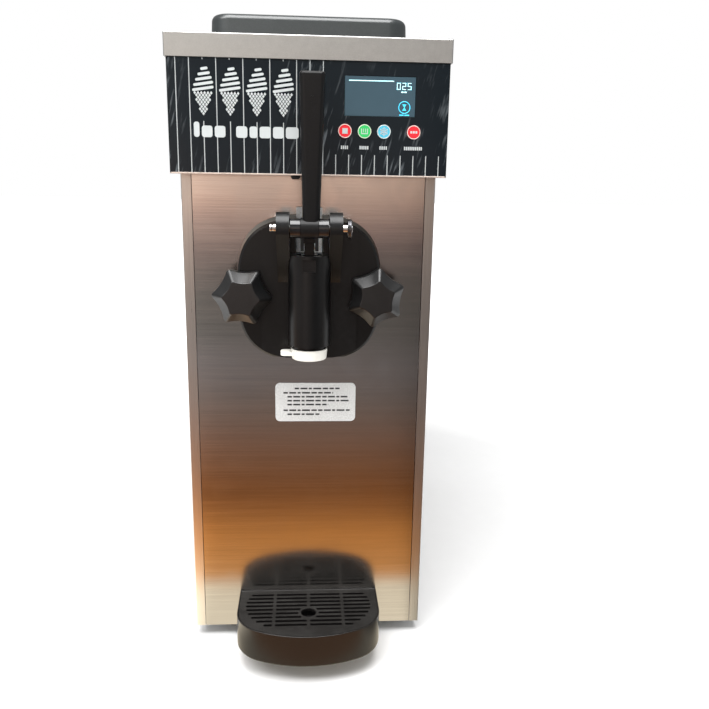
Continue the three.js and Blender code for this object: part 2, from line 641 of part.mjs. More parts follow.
// One closed helical strip between two radii, about the Y axis through the cylinder.
function flight(inner, outer, front, back, turns, thick) {
  const steps = turns * 16;
  const places = [];
  const faces = [];
  for (let i = 0; i <= steps; i++) {
    const turn = (2 * Math.PI * turns * i) / steps;
    const y = front + ((back - front - thick) * i) / steps;
    for (const [r, dy] of [[inner, 0], [outer, 0], [outer, thick], [inner, thick]]) {
      places.push(r * Math.cos(turn), y + dy, axisZ + r * Math.sin(turn));
    }
  }
  for (let i = 0; i < steps; i++) {
    for (let k = 0; k < 4; k++) {
      const [a, b] = [4 * i + k, 4 * i + ((k + 1) % 4)];
      faces.push(a, b, b + 4, a, b + 4, a + 4);
    }
  }
  const last = 4 * steps;
  faces.push(0, 2, 1, 0, 3, 2, last, last + 1, last + 2, last, last + 2, last + 3);
  const geometry = new THREE.BufferGeometry();
  geometry.setAttribute("position", new THREE.BufferAttribute(new Float32Array(places), 3));
  geometry.setIndex(faces);
  const strip = solid(geometry);
  return strip.volume() > 0 ? strip : solid(geometry.setIndex(faces.reverse()));
}

function beater() {
  const [front, back] = [doorBack + 11, cylinderBack - 3];
  const core = bar("y", front, back, [0, axisZ], BEATER_JOURNAL + 3, 16);
  const journal = bar("y", doorBack + 3, front + 1, [0, axisZ], BEATER_JOURNAL, 16);
  const radius = CYLINDER_BORE - BEATER_CLEARANCE;
  const scroll = flight(BEATER_JOURNAL, radius, front + 2, back - 2, BEATER_TURNS, BEATER_FLIGHT);
  const hub = bar("y", back - 14, back, [0, axisZ], BEATER_JOURNAL + 9, 16);
  const half = SHAFT_RADIUS * 0.62 + RUN;
  const socket = block(-half, back - 12, axisZ - half, half, back + 1, axisZ + half);
  piece("beater", cut(join(core, journal, scroll, hub), socket), bright);
}

function driveLine() {
  const half = SHAFT_RADIUS * 0.62;
  const dog = block(-half, cylinderBack - 14, axisZ - half, half, cylinderBack - 1, axisZ + half);
  const shaft = bar("y", cylinderBack - 2, gearboxFront - GAP, [0, axisZ], SHAFT_RADIUS, 16);
  piece("drive_shaft", join(dog, shaft), bright);

  const seal = [cylinderBack + END_PLATE + GAP, cylinderBack + END_PLATE + GAP + SEAL_WIDTH];
  const ring = bar("y", ...seal, [0, axisZ], SHAFT_RADIUS + 8, 20);
  const eye = bar("y", seal[0] - 1, seal[1] + 1, [0, axisZ], SHAFT_RADIUS + RUN, 20);
  piece("shaft_seal", cut(ring, eye), rubber);

  const { width, height } = GEARBOX;
  const housing = roundedRectangle(-width / 2, axisZ - height / 2, width / 2, axisZ + height / 2, 14);
  const spindle = (from, z) => bar("y", from, pulleyY + PULLEY_WIDTH / 2, [0, z], MOTOR_SHAFT, 20);
  const box = stood(housing, gearboxFront, gearboxBack - GAP, 4);
  piece("gearbox", join(box, spindle(gearboxBack - 2, axisZ)), galvanised);

  pulley("gearbox_pulley", PULLEY_RADIUS, axisZ, enamel);
  pulley("motor_pulley", MOTOR_PULLEY_RADIUS, motorZ, bright);

  const loop = (grow) => {
    const [big, small] = [PULLEY_RADIUS + grow, MOTOR_PULLEY_RADIUS + grow];
    const lean = Math.asin((big - small) / MOTOR_DROP);
    const shape = new THREE.Shape();
    shape.absarc(0, axisZ, big, -lean, Math.PI + lean, false);
    shape.absarc(0, motorZ, small, Math.PI + lean, 2 * Math.PI - lean, false);
    shape.closePath();
    return stood(shape, pulleyY - BELT_WIDTH / 2, pulleyY + BELT_WIDTH / 2, 14);
  };
  piece("drive_belt", cut(loop(GAP + BELT_THICK), loop(GAP)), rubber);

  const [front, back] = [gearboxBack - MOTOR_LENGTH, gearboxBack - GAP];
  const can = bar("y", front, back - 8, [0, motorZ], MOTOR_RADIUS, 28);
  const bell = bar("y", back - 9, back, [0, motorZ], MOTOR_RADIUS - 8, 28);
  const [footLow, footHigh] = [motorZ - MOTOR_RADIUS - 4, motorZ - MOTOR_RADIUS * 0.7];
  const foot = block(-MOTOR_RADIUS, front + 20, footLow, MOTOR_RADIUS, back - 20, footHigh);
  piece("beater_motor", join(can, bell, foot, spindle(back - 2, motorZ)), enamel);

  const { half: side, depth, plate } = FRAME;
  const [y0, y1] = [gearboxBack - 6 - depth, gearboxBack - 6];
  const shelf = (top) => block(-side, y0, top - plate, side, y1, top);
  const top = axisZ - height / 2 - GAP;
  const leg = (x) => block(x, y0, floorTop + GAP, x + plate, y1, top);
  const shelves = [shelf(top), shelf(motorZ - MOTOR_RADIUS - 4 - GAP)];
  piece("drive_frame", join(...shelves, leg(-side), leg(side - plate)), galvanised);
}

function pulley(name, radius, z, material) {
  const [y0, y1] = [pulleyY - PULLEY_WIDTH / 2, pulleyY + PULLEY_WIDTH / 2];
  const wheel = bar("y", y0, y1, [0, z], radius + BELT_THICK + GAP, 32);
  const halfBelt = BELT_WIDTH / 2;
  const groove = [
    [radius, -halfBelt - 0.5],
    [radius + 9, -halfBelt - 1.2],
    [radius + 9, halfBelt + 1.2],
    [radius, halfBelt + 0.5],
  ];
  const profile = [...groove, groove[0]].map(([r, along]) => [r, along + pulleyY]);
  const bore = bar("y", y0 - 1, y1 + 1, [0, z], MOTOR_SHAFT + RUN, 20);
  piece(name, cut(wheel, turned("y", profile, [0, z], 32), bore), material);
}

// ---------------------------------------------------------------- draw door, handle and plunger
function armProfile() {
  const shape = new THREE.Shape();
  shape.moveTo(doorFront + 6, axisZ + doorRadius - 8);
  shape.lineTo(doorFront + 6, axisZ + ARM_FOOT);
  shape.lineTo(slabFront - 0.5, axisZ + ARM_FOOT);
  shape.lineTo(slabFront - 9, axisZ + ARM_FOOT + 12);
  shape.lineTo(pivotY - ARM_RADIUS * 0.94, pivotZ - ARM_RADIUS * 0.34);
  shape.absarc(pivotY, pivotZ, ARM_RADIUS, Math.PI + 0.34, Math.PI / 2 - 0.2, true);
  shape.closePath();
  return shape;
}

// The door's outline in X and Z about the cylinder's axis: a rounded square, larger or smaller by a margin.
function doorOutline(margin) {
  const half = doorRadius + margin;
  const around = 72;
  return Array.from({ length: around }, (_, i) => {
    const [c, s] = [Math.cos((2 * Math.PI * i) / around), Math.sin((2 * Math.PI * i) / around)];
    const spread = Math.abs(c) ** DOOR_SQUARENESS + Math.abs(s) ** DOOR_SQUARENESS;
    const reach = half / spread ** (1 / DOOR_SQUARENESS);
    return [reach * c, reach * s];
  });
}

function draftedDoor() {
  const sections = [
    [doorBack, doorOutline(DOOR_FLARE - 1)],
    [doorBack - 1, doorOutline(DOOR_FLARE)],
    [doorFront + 2, doorOutline(0)],
    [doorFront, doorOutline(-2)],
  ];
  return lofted(sections, 0, axisZ);
}

function drawDoor() {
  const disc = draftedDoor();
  const ears = [-studX, studX].map((x) => bar("y", doorFront + 4, doorBack, [x, studZ], EAR_RADIUS, 24));
  const halfSlab = DOOR_SLAB_WIDTH / 2;
  const band = block(-halfSlab, slabFront, axisZ - 80, halfSlab, doorFront + 3, axisZ + 80);
  const inner = doorOutline(-2.5);
  const slab = band.intersect(lofted([[doorFront + 4, inner], [slabFront - 1, inner]], 0, axisZ));
  const spigot = bar("y", doorBack - 1, 3, [0, axisZ], CYLINDER_BORE - 0.6, 36);
  const valve = bar("z", valveBottom, valveTop, [0, nozzleY], VALVE_RADIUS, 32);
  const web = block(-VALVE_RADIUS, nozzleY, valveBottom, VALVE_RADIUS, doorFront + 2, valveTop);
  const spout = bar("z", valveBottom - SPOUT_LENGTH, valveBottom + 1, [0, nozzleY], SPOUT_RADIUS, 28);
  const armSpans = [[-armOuter, -armInner], [armInner, armOuter]];
  const arms = armSpans.map(([x0, x1]) => spread(armProfile(), x0, x1, 9));
  const { half, rise, floor } = NOTCH;
  const notch = block(-half, slabFront - 5, axisZ + rise, half, doorBack - floor, axisZ + 90);
  const through = block(-half, slabFront - 5, axisZ + ringRadius + 2, half, 5, axisZ + 90);
  const foot = block(-80, slabFront - 1, axisZ - 90, 80, 5, axisZ - doorRadius + DOOR_FOOT);
  const capRoom = bar("z", axisZ - 90, valveBottom - 1, [0, nozzleY], SPOUT_RADIUS + CAP_WALL + 1.2, 28);
  const plate = cut(join(disc, ...ears, slab, spigot), foot, capRoom);
  const whole = join(plate, valve, web, spout, ...arms);

  const bore = bar("z", valveBottom + 4, valveTop + 1, [0, nozzleY], PLUNGER_RADIUS + RUN, 28);
  const outlet = bar("z", valveBottom - SPOUT_LENGTH - 1, valveBottom + 5, [0, nozzleY], 9, 24);
  const port = bar("y", nozzleY, 5, [0, axisZ - 26], 8, 20);
  const studs = [[-studX, studZ], [studX, studZ]];
  const studHoles = studs.map((at) => bar("y", slabFront - 5, 5, at, STUD_RADIUS + 0.6, 16));
  const necks = studs.map((at) => bar("y", slabFront - 5, doorFront + 4, at, KNOB_NECK + 1, 24));
  const pinHole = bar("x", -armOuter - 1, armOuter + 1, [pivotY, pivotZ], PIN_RADIUS + RUN, 20);
  const bearing = bar("y", doorBack + 2, 5, [0, axisZ], BEATER_JOURNAL + RUN, 20);
  const valveFront = nozzleY - VALVE_RADIUS;
  const mark = block(-6, valveFront - 1, valveTop - 14, 6, valveFront + 1.6, valveTop - 3);
  const groove = ring(doorBack - GASKET_SECTION, doorBack + 1, ringRadius - 7, ringRadius - 1, 36);
  const away = [notch, through, bore, outlet, port, ...studHoles, ...necks, pinHole, bearing, mark, groove];
  piece("draw_door", cut(whole, ...away), blackPlastic);
}

// A flat ring about the cylinder's axis.
function ring(y0, y1, inner, outer, sides) {
  return cut(bar("y", y0, y1, [0, axisZ], outer, sides), bar("y", y0 - 1, y1 + 1, [0, axisZ], inner, sides));
}

function doorFittings() {
  const [y0, y1] = [doorBack - GASKET_SECTION + GAP, -RING_OUT - GAP];
  piece("door_gasket", ring(y0, y1, ringRadius - 7 + GAP, ringRadius - 1 - GAP, 40), rubber);
  const { half, top, thick } = NOTCH_PLATE;
  const back = doorBack - NOTCH.floor - GAP;
  piece("notch_plate", block(-half, back - thick, axisZ + NOTCH.rise + GAP, half, back, axisZ + top), milky);
  for (const [name, x] of [["left_stud", -studX], ["right_stud", studX]]) {
    piece(name, bar("y", -STUD_LENGTH, SHEET + GAP + FLANGE_THICK, [x, studZ], STUD_RADIUS, 16), bright);
  }
  for (const [name, x] of [["left_knob", -studX], ["right_knob", studX]]) {
    piece(name, starKnob(x, KNOB_TURNS[name]), blackPlastic);
  }
}

// A star knob in front of the door's ear: stacked star outlines, wide in the middle and drawn in to a
// small front face.
function starKnob(x, degrees) {
  const back = doorFront + 4 - GAP - KNOB_NECK_LENGTH;
  const layers = [[0, 0.8], [2.5, 0.97], [8, 1], [KNOB_DEPTH - 4, 0.74], [KNOB_DEPTH, 0.64]];
  const around = KNOB_POINTS * 6;
  const sections = layers.map(([depth, share]) => [
    back - depth,
    Array.from({ length: around }, (_, i) => {
      const turn = (2 * Math.PI * i) / around;
      const crest = Math.abs(Math.cos((KNOB_POINTS * turn) / 2)) ** 1.6;
      const radius = share * (KNOB_VALLEY + (KNOB_TIP - KNOB_VALLEY) * crest);
      const angle = turn + THREE.MathUtils.degToRad(degrees);
      return [radius * Math.cos(angle), radius * Math.sin(angle)];
    }),
  ]);
  const star = lofted(sections, x, studZ);
  const neck = bar("y", back - 1, back + KNOB_NECK_LENGTH, [x, studZ], KNOB_NECK, 24);
  const hole = bar("y", -STUD_LENGTH - 2, 0, [x, studZ], STUD_RADIUS + RUN, 16);
  return cut(join(star, neck), hole);
}

function plunger() {
  const [bottom, top] = [axisZ - PLUNGER_FALL, axisZ + PLUNGER_RISE];
  const body = bar("z", bottom, top, [0, nozzleY], PLUNGER_RADIUS, 28);
  const half = NECK_WIDTH / 2;
  const neck = block(-half, nozzleY - half, top - 1, half, nozzleY + half, headBottom + HEAD_HEIGHT);
  const [w, d] = [HEAD_WIDTH / 2, HEAD_FRONT];
  const head = block(-w, nozzleY - d, headBottom, w, nozzleY + d, headBottom + HEAD_HEIGHT);
  const heights = { plunger_ring_lower: bottom + 8, plunger_ring_upper: top - 8 };
  const floor = PLUNGER_RADIUS - O_RING_GROOVE;
  const grooves = Object.values(heights).map((z) => {
    const mouth = PLUNGER_RADIUS + 2;
    const profile = [
      [floor, z - 1.6],
      [mouth, z - 1.6],
      [mouth, z + 1.6],
      [floor, z + 1.6],
      [floor, z - 1.6],
    ];
    return turned("z", profile, [0, nozzleY], 28);
  });
  piece("draw_plunger", cut(join(body, neck, head), ...grooves), blackPlastic);
  for (const [name, z] of Object.entries(heights)) {
    const geometry = new THREE.TorusGeometry(PLUNGER_RADIUS - O_RING, O_RING, 6, 20);
    piece(name, solid(geometry.translate(0, nozzleY, z)), rubber);
  }
}

function handle() {
  const hub = bar("x", -HUB_LENGTH / 2, HUB_LENGTH / 2, [pivotY, pivotZ], HUB_RADIUS, 32);
  const blade = new THREE.Shape();
  const [root, tip] = [HANDLE_ROOT / 2, HANDLE_TIP / 2];
  blade.moveTo(-root, 0);
  blade.lineTo(root, 0);
  blade.lineTo(tip, HANDLE_LENGTH - 40);
  blade.lineTo(tip, HANDLE_LENGTH - 4);
  blade.absarc(tip - 4, HANDLE_LENGTH - 4, 4, 0, Math.PI / 2);
  blade.lineTo(-tip + 4, HANDLE_LENGTH);
  blade.absarc(-tip + 4, HANDLE_LENGTH - 4, 4, Math.PI / 2, Math.PI);
  blade.lineTo(-tip, HANDLE_LENGTH - 40);
  blade.closePath();
  const bevel = { bevelThickness: 3, bevelSize: 3, bevelOffset: -3, bevelSegments: 2 };
  const flat = new THREE.ExtrudeGeometry(blade, { depth: HANDLE_THICK - 6, curveSegments: 4, ...bevel });
  flat.translate(0, 0, -HANDLE_THICK / 2 + 3);
  flat.rotateX(Math.PI / 2 + THREE.MathUtils.degToRad(HANDLE_LEAN)).translate(0, pivotY, pivotZ);
  const fingerTop = headBottom - GAP;
  const inner = NECK_WIDTH / 2 + 0.6;
  const fingers = [[-inner - 3, -inner], [inner, inner + 3]].map(([x0, x1]) => {
    const leg = block(x0, pivotY - 5, fingerTop - FINGER_THICK, x1, pivotY + 4, pivotZ);
    const reach = block(x0, pivotY - 5, fingerTop - FINGER_THICK, x1, pivotY + FINGER_REACH, fingerTop);
    return join(leg, reach);
  });
  const hole = bar("x", -HUB_LENGTH, HUB_LENGTH, [pivotY, pivotZ], PIN_RADIUS + RUN, 20);
  piece("draw_handle", cut(join(hub, solid(flat), ...fingers), hole), blackPlastic);

  const end = armOuter + PIN_END;
  const pin = bar("x", -end, end + 1, [pivotY, pivotZ], PIN_RADIUS, 20);
  const knob = bar("x", end, end + PIN_HEAD, [pivotY, pivotZ], PIN_HEAD_RADIUS, 28);
  piece("pivot_pin", join(pin, knob), bright);
}

function nozzleCap() {
  const bottom = valveBottom - CAP_DROP;
  const radius = SPOUT_RADIUS + GAP + CAP_WALL;
  const cup = bar("z", bottom, bottom + CAP_HEIGHT, [0, nozzleY], radius, 36);
  const tab = block(-radius - CAP_TAB, nozzleY - 6, bottom + 3.5, -radius + 1, nozzleY + 6, bottom + 7.5);
  const hollow = bar("z", bottom + CAP_WALL, bottom + CAP_HEIGHT + 1, [0, nozzleY], SPOUT_RADIUS + GAP, 36);
  piece("nozzle_cap", cut(join(cup, tab), hollow), milky);
}

// ---------------------------------------------------------------- drip tray
// The tray's outline drawn in by an inset: straight sides, round corners and a wide front arc.
function trayOutline(inset) {
  const half = TRAY_WIDTH / 2 - inset;
  const [front, corner] = [TRAY_FRONT_RADIUS - inset, TRAY_CORNER - inset];
  const centreY = TRAY_FRONT_RADIUS - TRAY_DEPTH;
  const across = half - corner;
  const cornerY = centreY - Math.sqrt((front - corner) ** 2 - across ** 2);
  const lean = Math.atan2(cornerY - centreY, across);
  const shape = new THREE.Shape();
  shape.moveTo(half, -0.5 - inset);
  shape.lineTo(-half, -0.5 - inset);
  shape.lineTo(-half, cornerY);
  shape.absarc(-across, cornerY, corner, Math.PI, 1.5 * Math.PI - (Math.PI / 2 + lean), false);
  shape.absarc(0, centreY, front, Math.PI - lean, 2 * Math.PI + lean, false);
  shape.absarc(across, cornerY, corner, lean, 0, false);
  shape.closePath();
  return shape;
}

function dripTray() {
  const outer = raised(trayOutline(0), trayBottom, trayTop, 7);
  const basin = raised(trayOutline(TRAY_WALL), trayBottom + TRAY_WALL, trayTop + 1, 7);
  const rebate = raised(trayOutline(GRILLE_RIM), trayTop - GRILLE_THICK - GAP, trayTop + 1, 7);
  const tabZ = trayTop - GRILLE_THICK - 6;
  const tabs = [-1, 1].map((side) => {
    const at = (side * TAB_SPACING) / 2;
    return block(at - TAB_WIDTH / 2, -1.5, tabZ - TAB_THICK, at + TAB_WIDTH / 2, TAB_LENGTH, tabZ);
  });
  piece("drip_tray", join(cut(outer, basin, rebate), ...tabs), blackPlastic);
}

function dripGrille() {
  const plate = raised(trayOutline(GRILLE_RIM + GAP), trayTop - GRILLE_THICK, trayTop, 7);
  const [z0, z1] = [trayTop - GRILLE_THICK - 1, trayTop + 1];
  const { half, reach, middle } = SLOT_FIELD;
  const slots = [];
  for (let row = 0; row < SLOT_ROWS; row++) {
    const y = -SLOT_FIRST - row * SLOT_PITCH;
    const edge = half * Math.sqrt(1 - ((y + middle) / reach) ** 2);
    const near = Math.abs(y + NOZZLE_OUT);
    const ringHalf = near < DRAIN_RING ? Math.sqrt(DRAIN_RING ** 2 - near ** 2) : 0;
    const inner = Math.max(RIB_WIDTH / 2, ringHalf);
    const spans = [[inner, RIB_SPACING - RIB_WIDTH / 2], [RIB_SPACING + RIB_WIDTH / 2, edge]];
    for (const [from, to] of spans) {
      slots.push(block(from, y - SLOT_WIDTH / 2, z0, to, y + SLOT_WIDTH / 2, z1));
      slots.push(block(-to, y - SLOT_WIDTH / 2, z0, -from, y + SLOT_WIDTH / 2, z1));
    }
  }
  const drain = bar("z", z0, z1, [0, nozzleY], DRAIN_RADIUS, 24);
  piece("drip_grille", cut(plate, drain, ...slots), blackPlastic);
}

// ---------------------------------------------------------------- refrigeration and power
function compressor() {
  const { radius, height, x, y } = COMPRESSOR;
  const z = floorTop + GAP;
  const profile = [
    [0, 14], [radius - 8, 14], [radius, 26], [radius, height - 34], [radius - 14, height - 8], [0, height],
  ].map(([r, along]) => [r, along + z]);
  const shell = turned("z", profile, [x, y], 32);
  const plate = block(x - radius - 8, y - radius + 4, z, x + radius + 8, y + radius - 4, z + 16);
  piece("compressor", join(shell, plate), enamel);
}

function condenser() {
  const x = halfWidth - CONDENSER_MARGIN;
  const bottom = floorTop + 12;
  const core = block(-x, condenserFront, bottom, x, condenserBack, bottom + CONDENSER_HEIGHT);
  const grooves = [];
  const [grooveLow, grooveHigh] = [bottom + 6, bottom + CONDENSER_HEIGHT - 6];
  for (let at = -x + 8; at < x - 8; at += 8) {
    grooves.push(block(at, condenserFront - 1, grooveLow, at + 4, condenserFront + 8, grooveHigh));
  }
  const feet = block(-x, condenserFront + 8, floorTop + GAP, x, condenserBack - 8, bottom + 1);
  piece("condenser", cut(join(core, feet), ...grooves), fins);

  const [front, back] = [shroudBack - SHROUD_DEPTH, shroudBack];
  const frame = block(-x, front, bottom, x, back, bottom + CONDENSER_HEIGHT);
  const throat = bar("y", front - 1, back + 1, [0, fanZ], FAN_RADIUS + 4, 32);
  piece("fan_shroud", cut(frame, throat), galvanised);

  const hub = bar("y", front + 3, back - 5, [0, fanZ], FAN_HUB, 20);
  const blades = [];
  for (let i = 0; i < FAN_BLADES; i++) {
    const blade = new THREE.BoxGeometry(FAN_RADIUS - FAN_HUB + 3, 2, 34);
    blade.rotateX(0.42).translate((FAN_RADIUS + FAN_HUB - 3) / 2, 0, 0);
    blade.rotateY((2 * Math.PI * i) / FAN_BLADES);
    blades.push(solid(blade.translate(0, (front + back) / 2, fanZ)));
  }
  const tips = bar("y", front - 9, back + 9, [0, fanZ], FAN_RADIUS, 36);
  piece("fan_blade", join(hub, ...blades).intersect(tips), blackPlastic);

  const { radius, length } = FAN_MOTOR;
  const motorBack = front + 3 - GAP;
  const can = bar("y", motorBack - length, motorBack, [0, fanZ], radius, 24);
  const strut = block(-FAN_RADIUS - 8, front - 4 - GAP, fanZ - 5, FAN_RADIUS + 8, front - GAP, fanZ + 5);
  piece("fan_motor", join(can, strut), enamel);
}

function plumbing() {
  const { radius, height, x, y } = COMPRESSOR;
  const side = halfWidth - 18;
  const z = floorTop + GAP + height * 0.6;
  const core = halfWidth - CONDENSER_MARGIN + PIPE_GAP;
  const leave = [[x - radius - PIPE_GAP, y, z], [x - radius - 24, y, z + 6], [-side, y + 30, z]];
  const arrive = [
    [-side, condenserFront - 30, z],
    [-side, condenserFront + 14, z + 8],
    [-core, condenserFront + 20, z + 8],
  ];
  piece("discharge_pipe", pipe([...leave, ...arrive], PIPE_RADIUS, 22), copper);

  const low = floorTop + 60;
  const liquid = [
    [core, condenserFront + 20, low],
    [side, condenserFront + 8, low],
    [side, condenserFront - 40, low],
  ];
  piece("liquid_pipe", pipe([...liquid, [side, 236, low]], PIPE_RADIUS * 0.7, 14), copper);
  const { length } = DRIER;
  const drier = bar("y", 236 - GAP - length, 236 - GAP, [side - 1, floorTop + 60], DRIER.radius, 16);
  piece("filter_drier", drier, copper);

  const jacket = [foamRadius * 0.72, 150, axisZ - foamRadius * 0.72 - 6];
  const drop = [jacket, [side - 6, 140, axisZ - 120], [side - 2, y + 6, z + 50], [side - 2, y, z + 12]];
  piece("suction_pipe", pipe([...drop, [x + radius + PIPE_GAP, y, z + 4]], PIPE_RADIUS, 22), copper);
}

function electrics() {
  const { width, depth, height } = POWER_BOX;
  const x = -halfWidth + SHEET + 6;
  const boxFoot = floorTop + GAP;
  piece("power_box", block(x, 30, boxFoot, x + width, 30 + depth, boxFoot + height), galvanised);
  const z = bodyBottom + INLET.rise;
  const [w, h] = [INLET.width / 2, INLET.height / 2];
  const front = BODY_DEPTH - INLET.depth;
  const housing = block(INLET.x - w, front, z - h, INLET.x + w, BODY_DEPTH, z + h);
  const [left, right] = [INLET.x - w - 5, INLET.x + w + 5];
  const bezel = block(left, BODY_DEPTH + GAP, z - h - 4, right, BODY_DEPTH + 1.8, z + h + 4);
  const bridge = block(INLET.x - w, BODY_DEPTH - 1, z - h, INLET.x + w, BODY_DEPTH + 1, z + h);
  const recess = block(INLET.x - w + 4, front + 5, z - h + 4, INLET.x + w - 4, BODY_DEPTH + 3, z + h - 4);
  const pins = [-7, 0, 7].map((at) => {
    const up = at ? -2 : 3;
    return block(INLET.x + at - 1, front + 4, z + up - 2, INLET.x + at + 1, BODY_DEPTH - 6, z + up + 2);
  });
  piece("power_inlet", join(cut(join(housing, bezel, bridge), recess), ...pins), blackPlastic);
}

// ---------------------------------------------------------------- assembly
basePan();
feet();
sidePanels();
frontPanel();
rearPanel();
topCover();
hoodShell();
fascia();
controls();
label();
hopper();
hopperLid();
airTube();
freezingCylinder();
insulation();
beater();
driveLine();
drawDoor();
doorFittings();
plunger();
handle();
nozzleCap();
dripTray();
dripGrille();
compressor();
condenser();
plumbing();
electrics();

machine.position.y = (TRAY_DEPTH - rearMost) / 2;
export default machine;
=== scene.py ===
"""Visual model of a countertop soft-serve ice cream maker with one dispensing head.

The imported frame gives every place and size. Each sub-assembly is a class that models its pieces over the
frame's nodes and dresses them. Each finish is a small class that builds one node material. Metres throughout,
but for prints, whose places are in millimetres. The machine faces -Y and stands on z = 0.
"""
import json
import logging
import math
from contextlib import contextmanager
from dataclasses import dataclass, field
from enum import Enum
from itertools import cycle
from typing import Callable, Iterator, Sequence

import bmesh
import bpy
from mathutils import Matrix, Vector


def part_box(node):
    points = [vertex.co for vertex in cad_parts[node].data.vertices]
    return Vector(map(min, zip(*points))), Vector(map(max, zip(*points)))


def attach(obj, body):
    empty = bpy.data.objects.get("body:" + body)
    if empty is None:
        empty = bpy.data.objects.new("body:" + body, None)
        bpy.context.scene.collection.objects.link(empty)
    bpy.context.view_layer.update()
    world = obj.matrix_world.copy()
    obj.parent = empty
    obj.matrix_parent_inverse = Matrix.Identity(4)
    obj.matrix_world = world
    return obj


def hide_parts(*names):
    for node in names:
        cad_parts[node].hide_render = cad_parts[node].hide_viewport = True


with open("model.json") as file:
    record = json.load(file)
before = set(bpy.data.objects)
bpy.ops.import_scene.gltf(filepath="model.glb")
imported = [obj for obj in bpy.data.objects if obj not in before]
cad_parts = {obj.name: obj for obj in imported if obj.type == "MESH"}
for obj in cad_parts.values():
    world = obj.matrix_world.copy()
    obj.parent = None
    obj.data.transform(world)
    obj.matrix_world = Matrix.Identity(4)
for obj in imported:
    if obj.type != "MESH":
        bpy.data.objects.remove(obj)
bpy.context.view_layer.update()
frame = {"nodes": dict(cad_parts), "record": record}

LOG = logging.getLogger("ice_cream_maker")
MM = 0.001

Colour = tuple[float, float, float]
Point = tuple[float, float, float]
Flat = tuple[float, float]
Test = Callable[[Vector, Vector], bool]
Object = bpy.types.Object
Node = bpy.types.Node
Socket = bpy.types.NodeSocket
Tree = bpy.types.NodeTree
Material = bpy.types.Material
Stops = Sequence[tuple[float, Colour]]


# --------------------------------------------------------------------------------------------- node graphs
class Graph:
    """The nodes of one material or group, with short ways to add and wire them."""

    def __init__(self, tree: Tree) -> None:
        """Starts an empty graph on a tree."""
        self.tree = tree
        tree.nodes.clear()

    def add(self, kind: str, inputs: dict[str, object] | None = None, **settings: object) -> Node:
        """Adds a node.

        Args:
            kind: the node's type without its ShaderNode prefix.
            inputs: socket name or index to a value, or to an output socket to wire in.
            settings: properties of the node itself.

        Returns:
            The new node.
        """
        node = self.tree.nodes.new("ShaderNode" + kind)
        for name, value in settings.items():
            setattr(node, name, value)
        for name, value in (inputs or {}).items():
            self.fill(node.inputs[name], value)
        return node

    def fill(self, socket: Socket, value: object) -> None:
        """Wires an output into a socket, or sets the socket's own value.

        Args:
            socket: the input socket.
            value: an output socket, a number, or a colour of three shares.
        """
        if isinstance(value, Socket):
            self.tree.links.new(value, socket)
        elif isinstance(value, tuple) and len(value) == 3 and socket.type == "RGBA":
            socket.default_value = (*value, 1.0)
        else:
            socket.default_value = value

    def math(self, operation: str, a: object, b: object = 0.0, clamp: bool = False) -> Socket:
        """Adds a Math node on two values or sockets.

        Args:
            operation: the node's operation.
            a: first value or socket.
            b: second value or socket.
            clamp: whether the result is kept between 0 and 1.

        Returns:
            The node's output.
        """
        return self.add("Math", {0: a, 1: b}, operation=operation, use_clamp=clamp).outputs[0]

    def times(self, a: object, b: object) -> Socket:
        """Multiplies two values or sockets."""
        return self.math("MULTIPLY", a, b)

    def plus(self, a: object, b: object) -> Socket:
        """Adds two values or sockets."""
        return self.math("ADD", a, b)

    def minus(self, a: object, b: object) -> Socket:
        """Takes the second value or socket from the first."""
        return self.math("SUBTRACT", a, b)

    def below(self, a: object, limit: object) -> Socket:
        """Gives 1 where a value is under a limit, and 0 elsewhere."""
        return self.math("LESS_THAN", a, limit)

    def away(self, a: object, middle: float = 0.0) -> Socket:
        """Gives how far a value is from a middle."""
        return self.math("ABSOLUTE", self.minus(a, middle) if middle else a)

    def shiver(self, vector: object, scale: object, detail: float, output: int = 0, **more: float) -> Socket:
        """Adds a noise texture.

        Args:
            vector: the coordinates that it reads.
            scale: how fine it is.
            detail: how many octaves it has.
            output: 0 for its value, 1 for its colour.
            more: other inputs, by name.

        Returns:
            The chosen output.
        """
        inputs = {"Vector": vector, "Scale": scale, "Detail": detail, **more}
        return self.add("TexNoise", inputs).outputs[output]

    def mix(self, factor: object, a: object, b: object) -> Socket:
        """Mixes two colours.

        Args:
            factor: share of the second colour.
            a: first colour or socket.
            b: second colour or socket.

        Returns:
            The mixed colour.
        """
        return self.add("Mix", {0: factor, 6: a, 7: b}, data_type="RGBA").outputs[2]

    def ramp(self, value: object, stops: Stops) -> Socket:
        """Maps a value to colours.

        Args:
            value: the socket that is looked up.
            stops: places from 0 to 1 with their colours.

        Returns:
            The looked-up colour.
        """
        node = self.add("ValToRGB", {0: value})
        band = node.color_ramp
        while len(band.elements) < len(stops):
            band.elements.new(1.0)
        for element, (place, colour) in zip(band.elements, stops):
            element.position = place
            element.color = (*colour, 1.0)
        return node.outputs[0]

    def stretch(
        self, value: object, low: float, high: float, to_low: float = 0.0, to_high: float = 1.0
    ) -> Socket:
        """Maps a range onto another, clamped.

        Args:
            value: the socket to map.
            low: value that gives to_low.
            high: value that gives to_high.
            to_low: result at low.
            to_high: result at high.

        Returns:
            The mapped value.
        """
        values = {0: value, 1: low, 2: high, 3: to_low, 4: to_high}
        return self.add("MapRange", values, clamp=True).outputs[0]

    def place(self, scale: Point = (1.0, 1.0, 1.0), turn: Point = (0.0, 0.0, 0.0)) -> Socket:
        """Gives the piece's own coordinates, scaled and turned.

        Args:
            scale: factor along each axis.
            turn: rotation about each axis, in radians.

        Returns:
            The coordinates.
        """
        own = self.add("TexCoord").outputs["Object"]
        return self.add("Mapping", {"Vector": own, "Scale": scale, "Rotation": turn}).outputs[0]


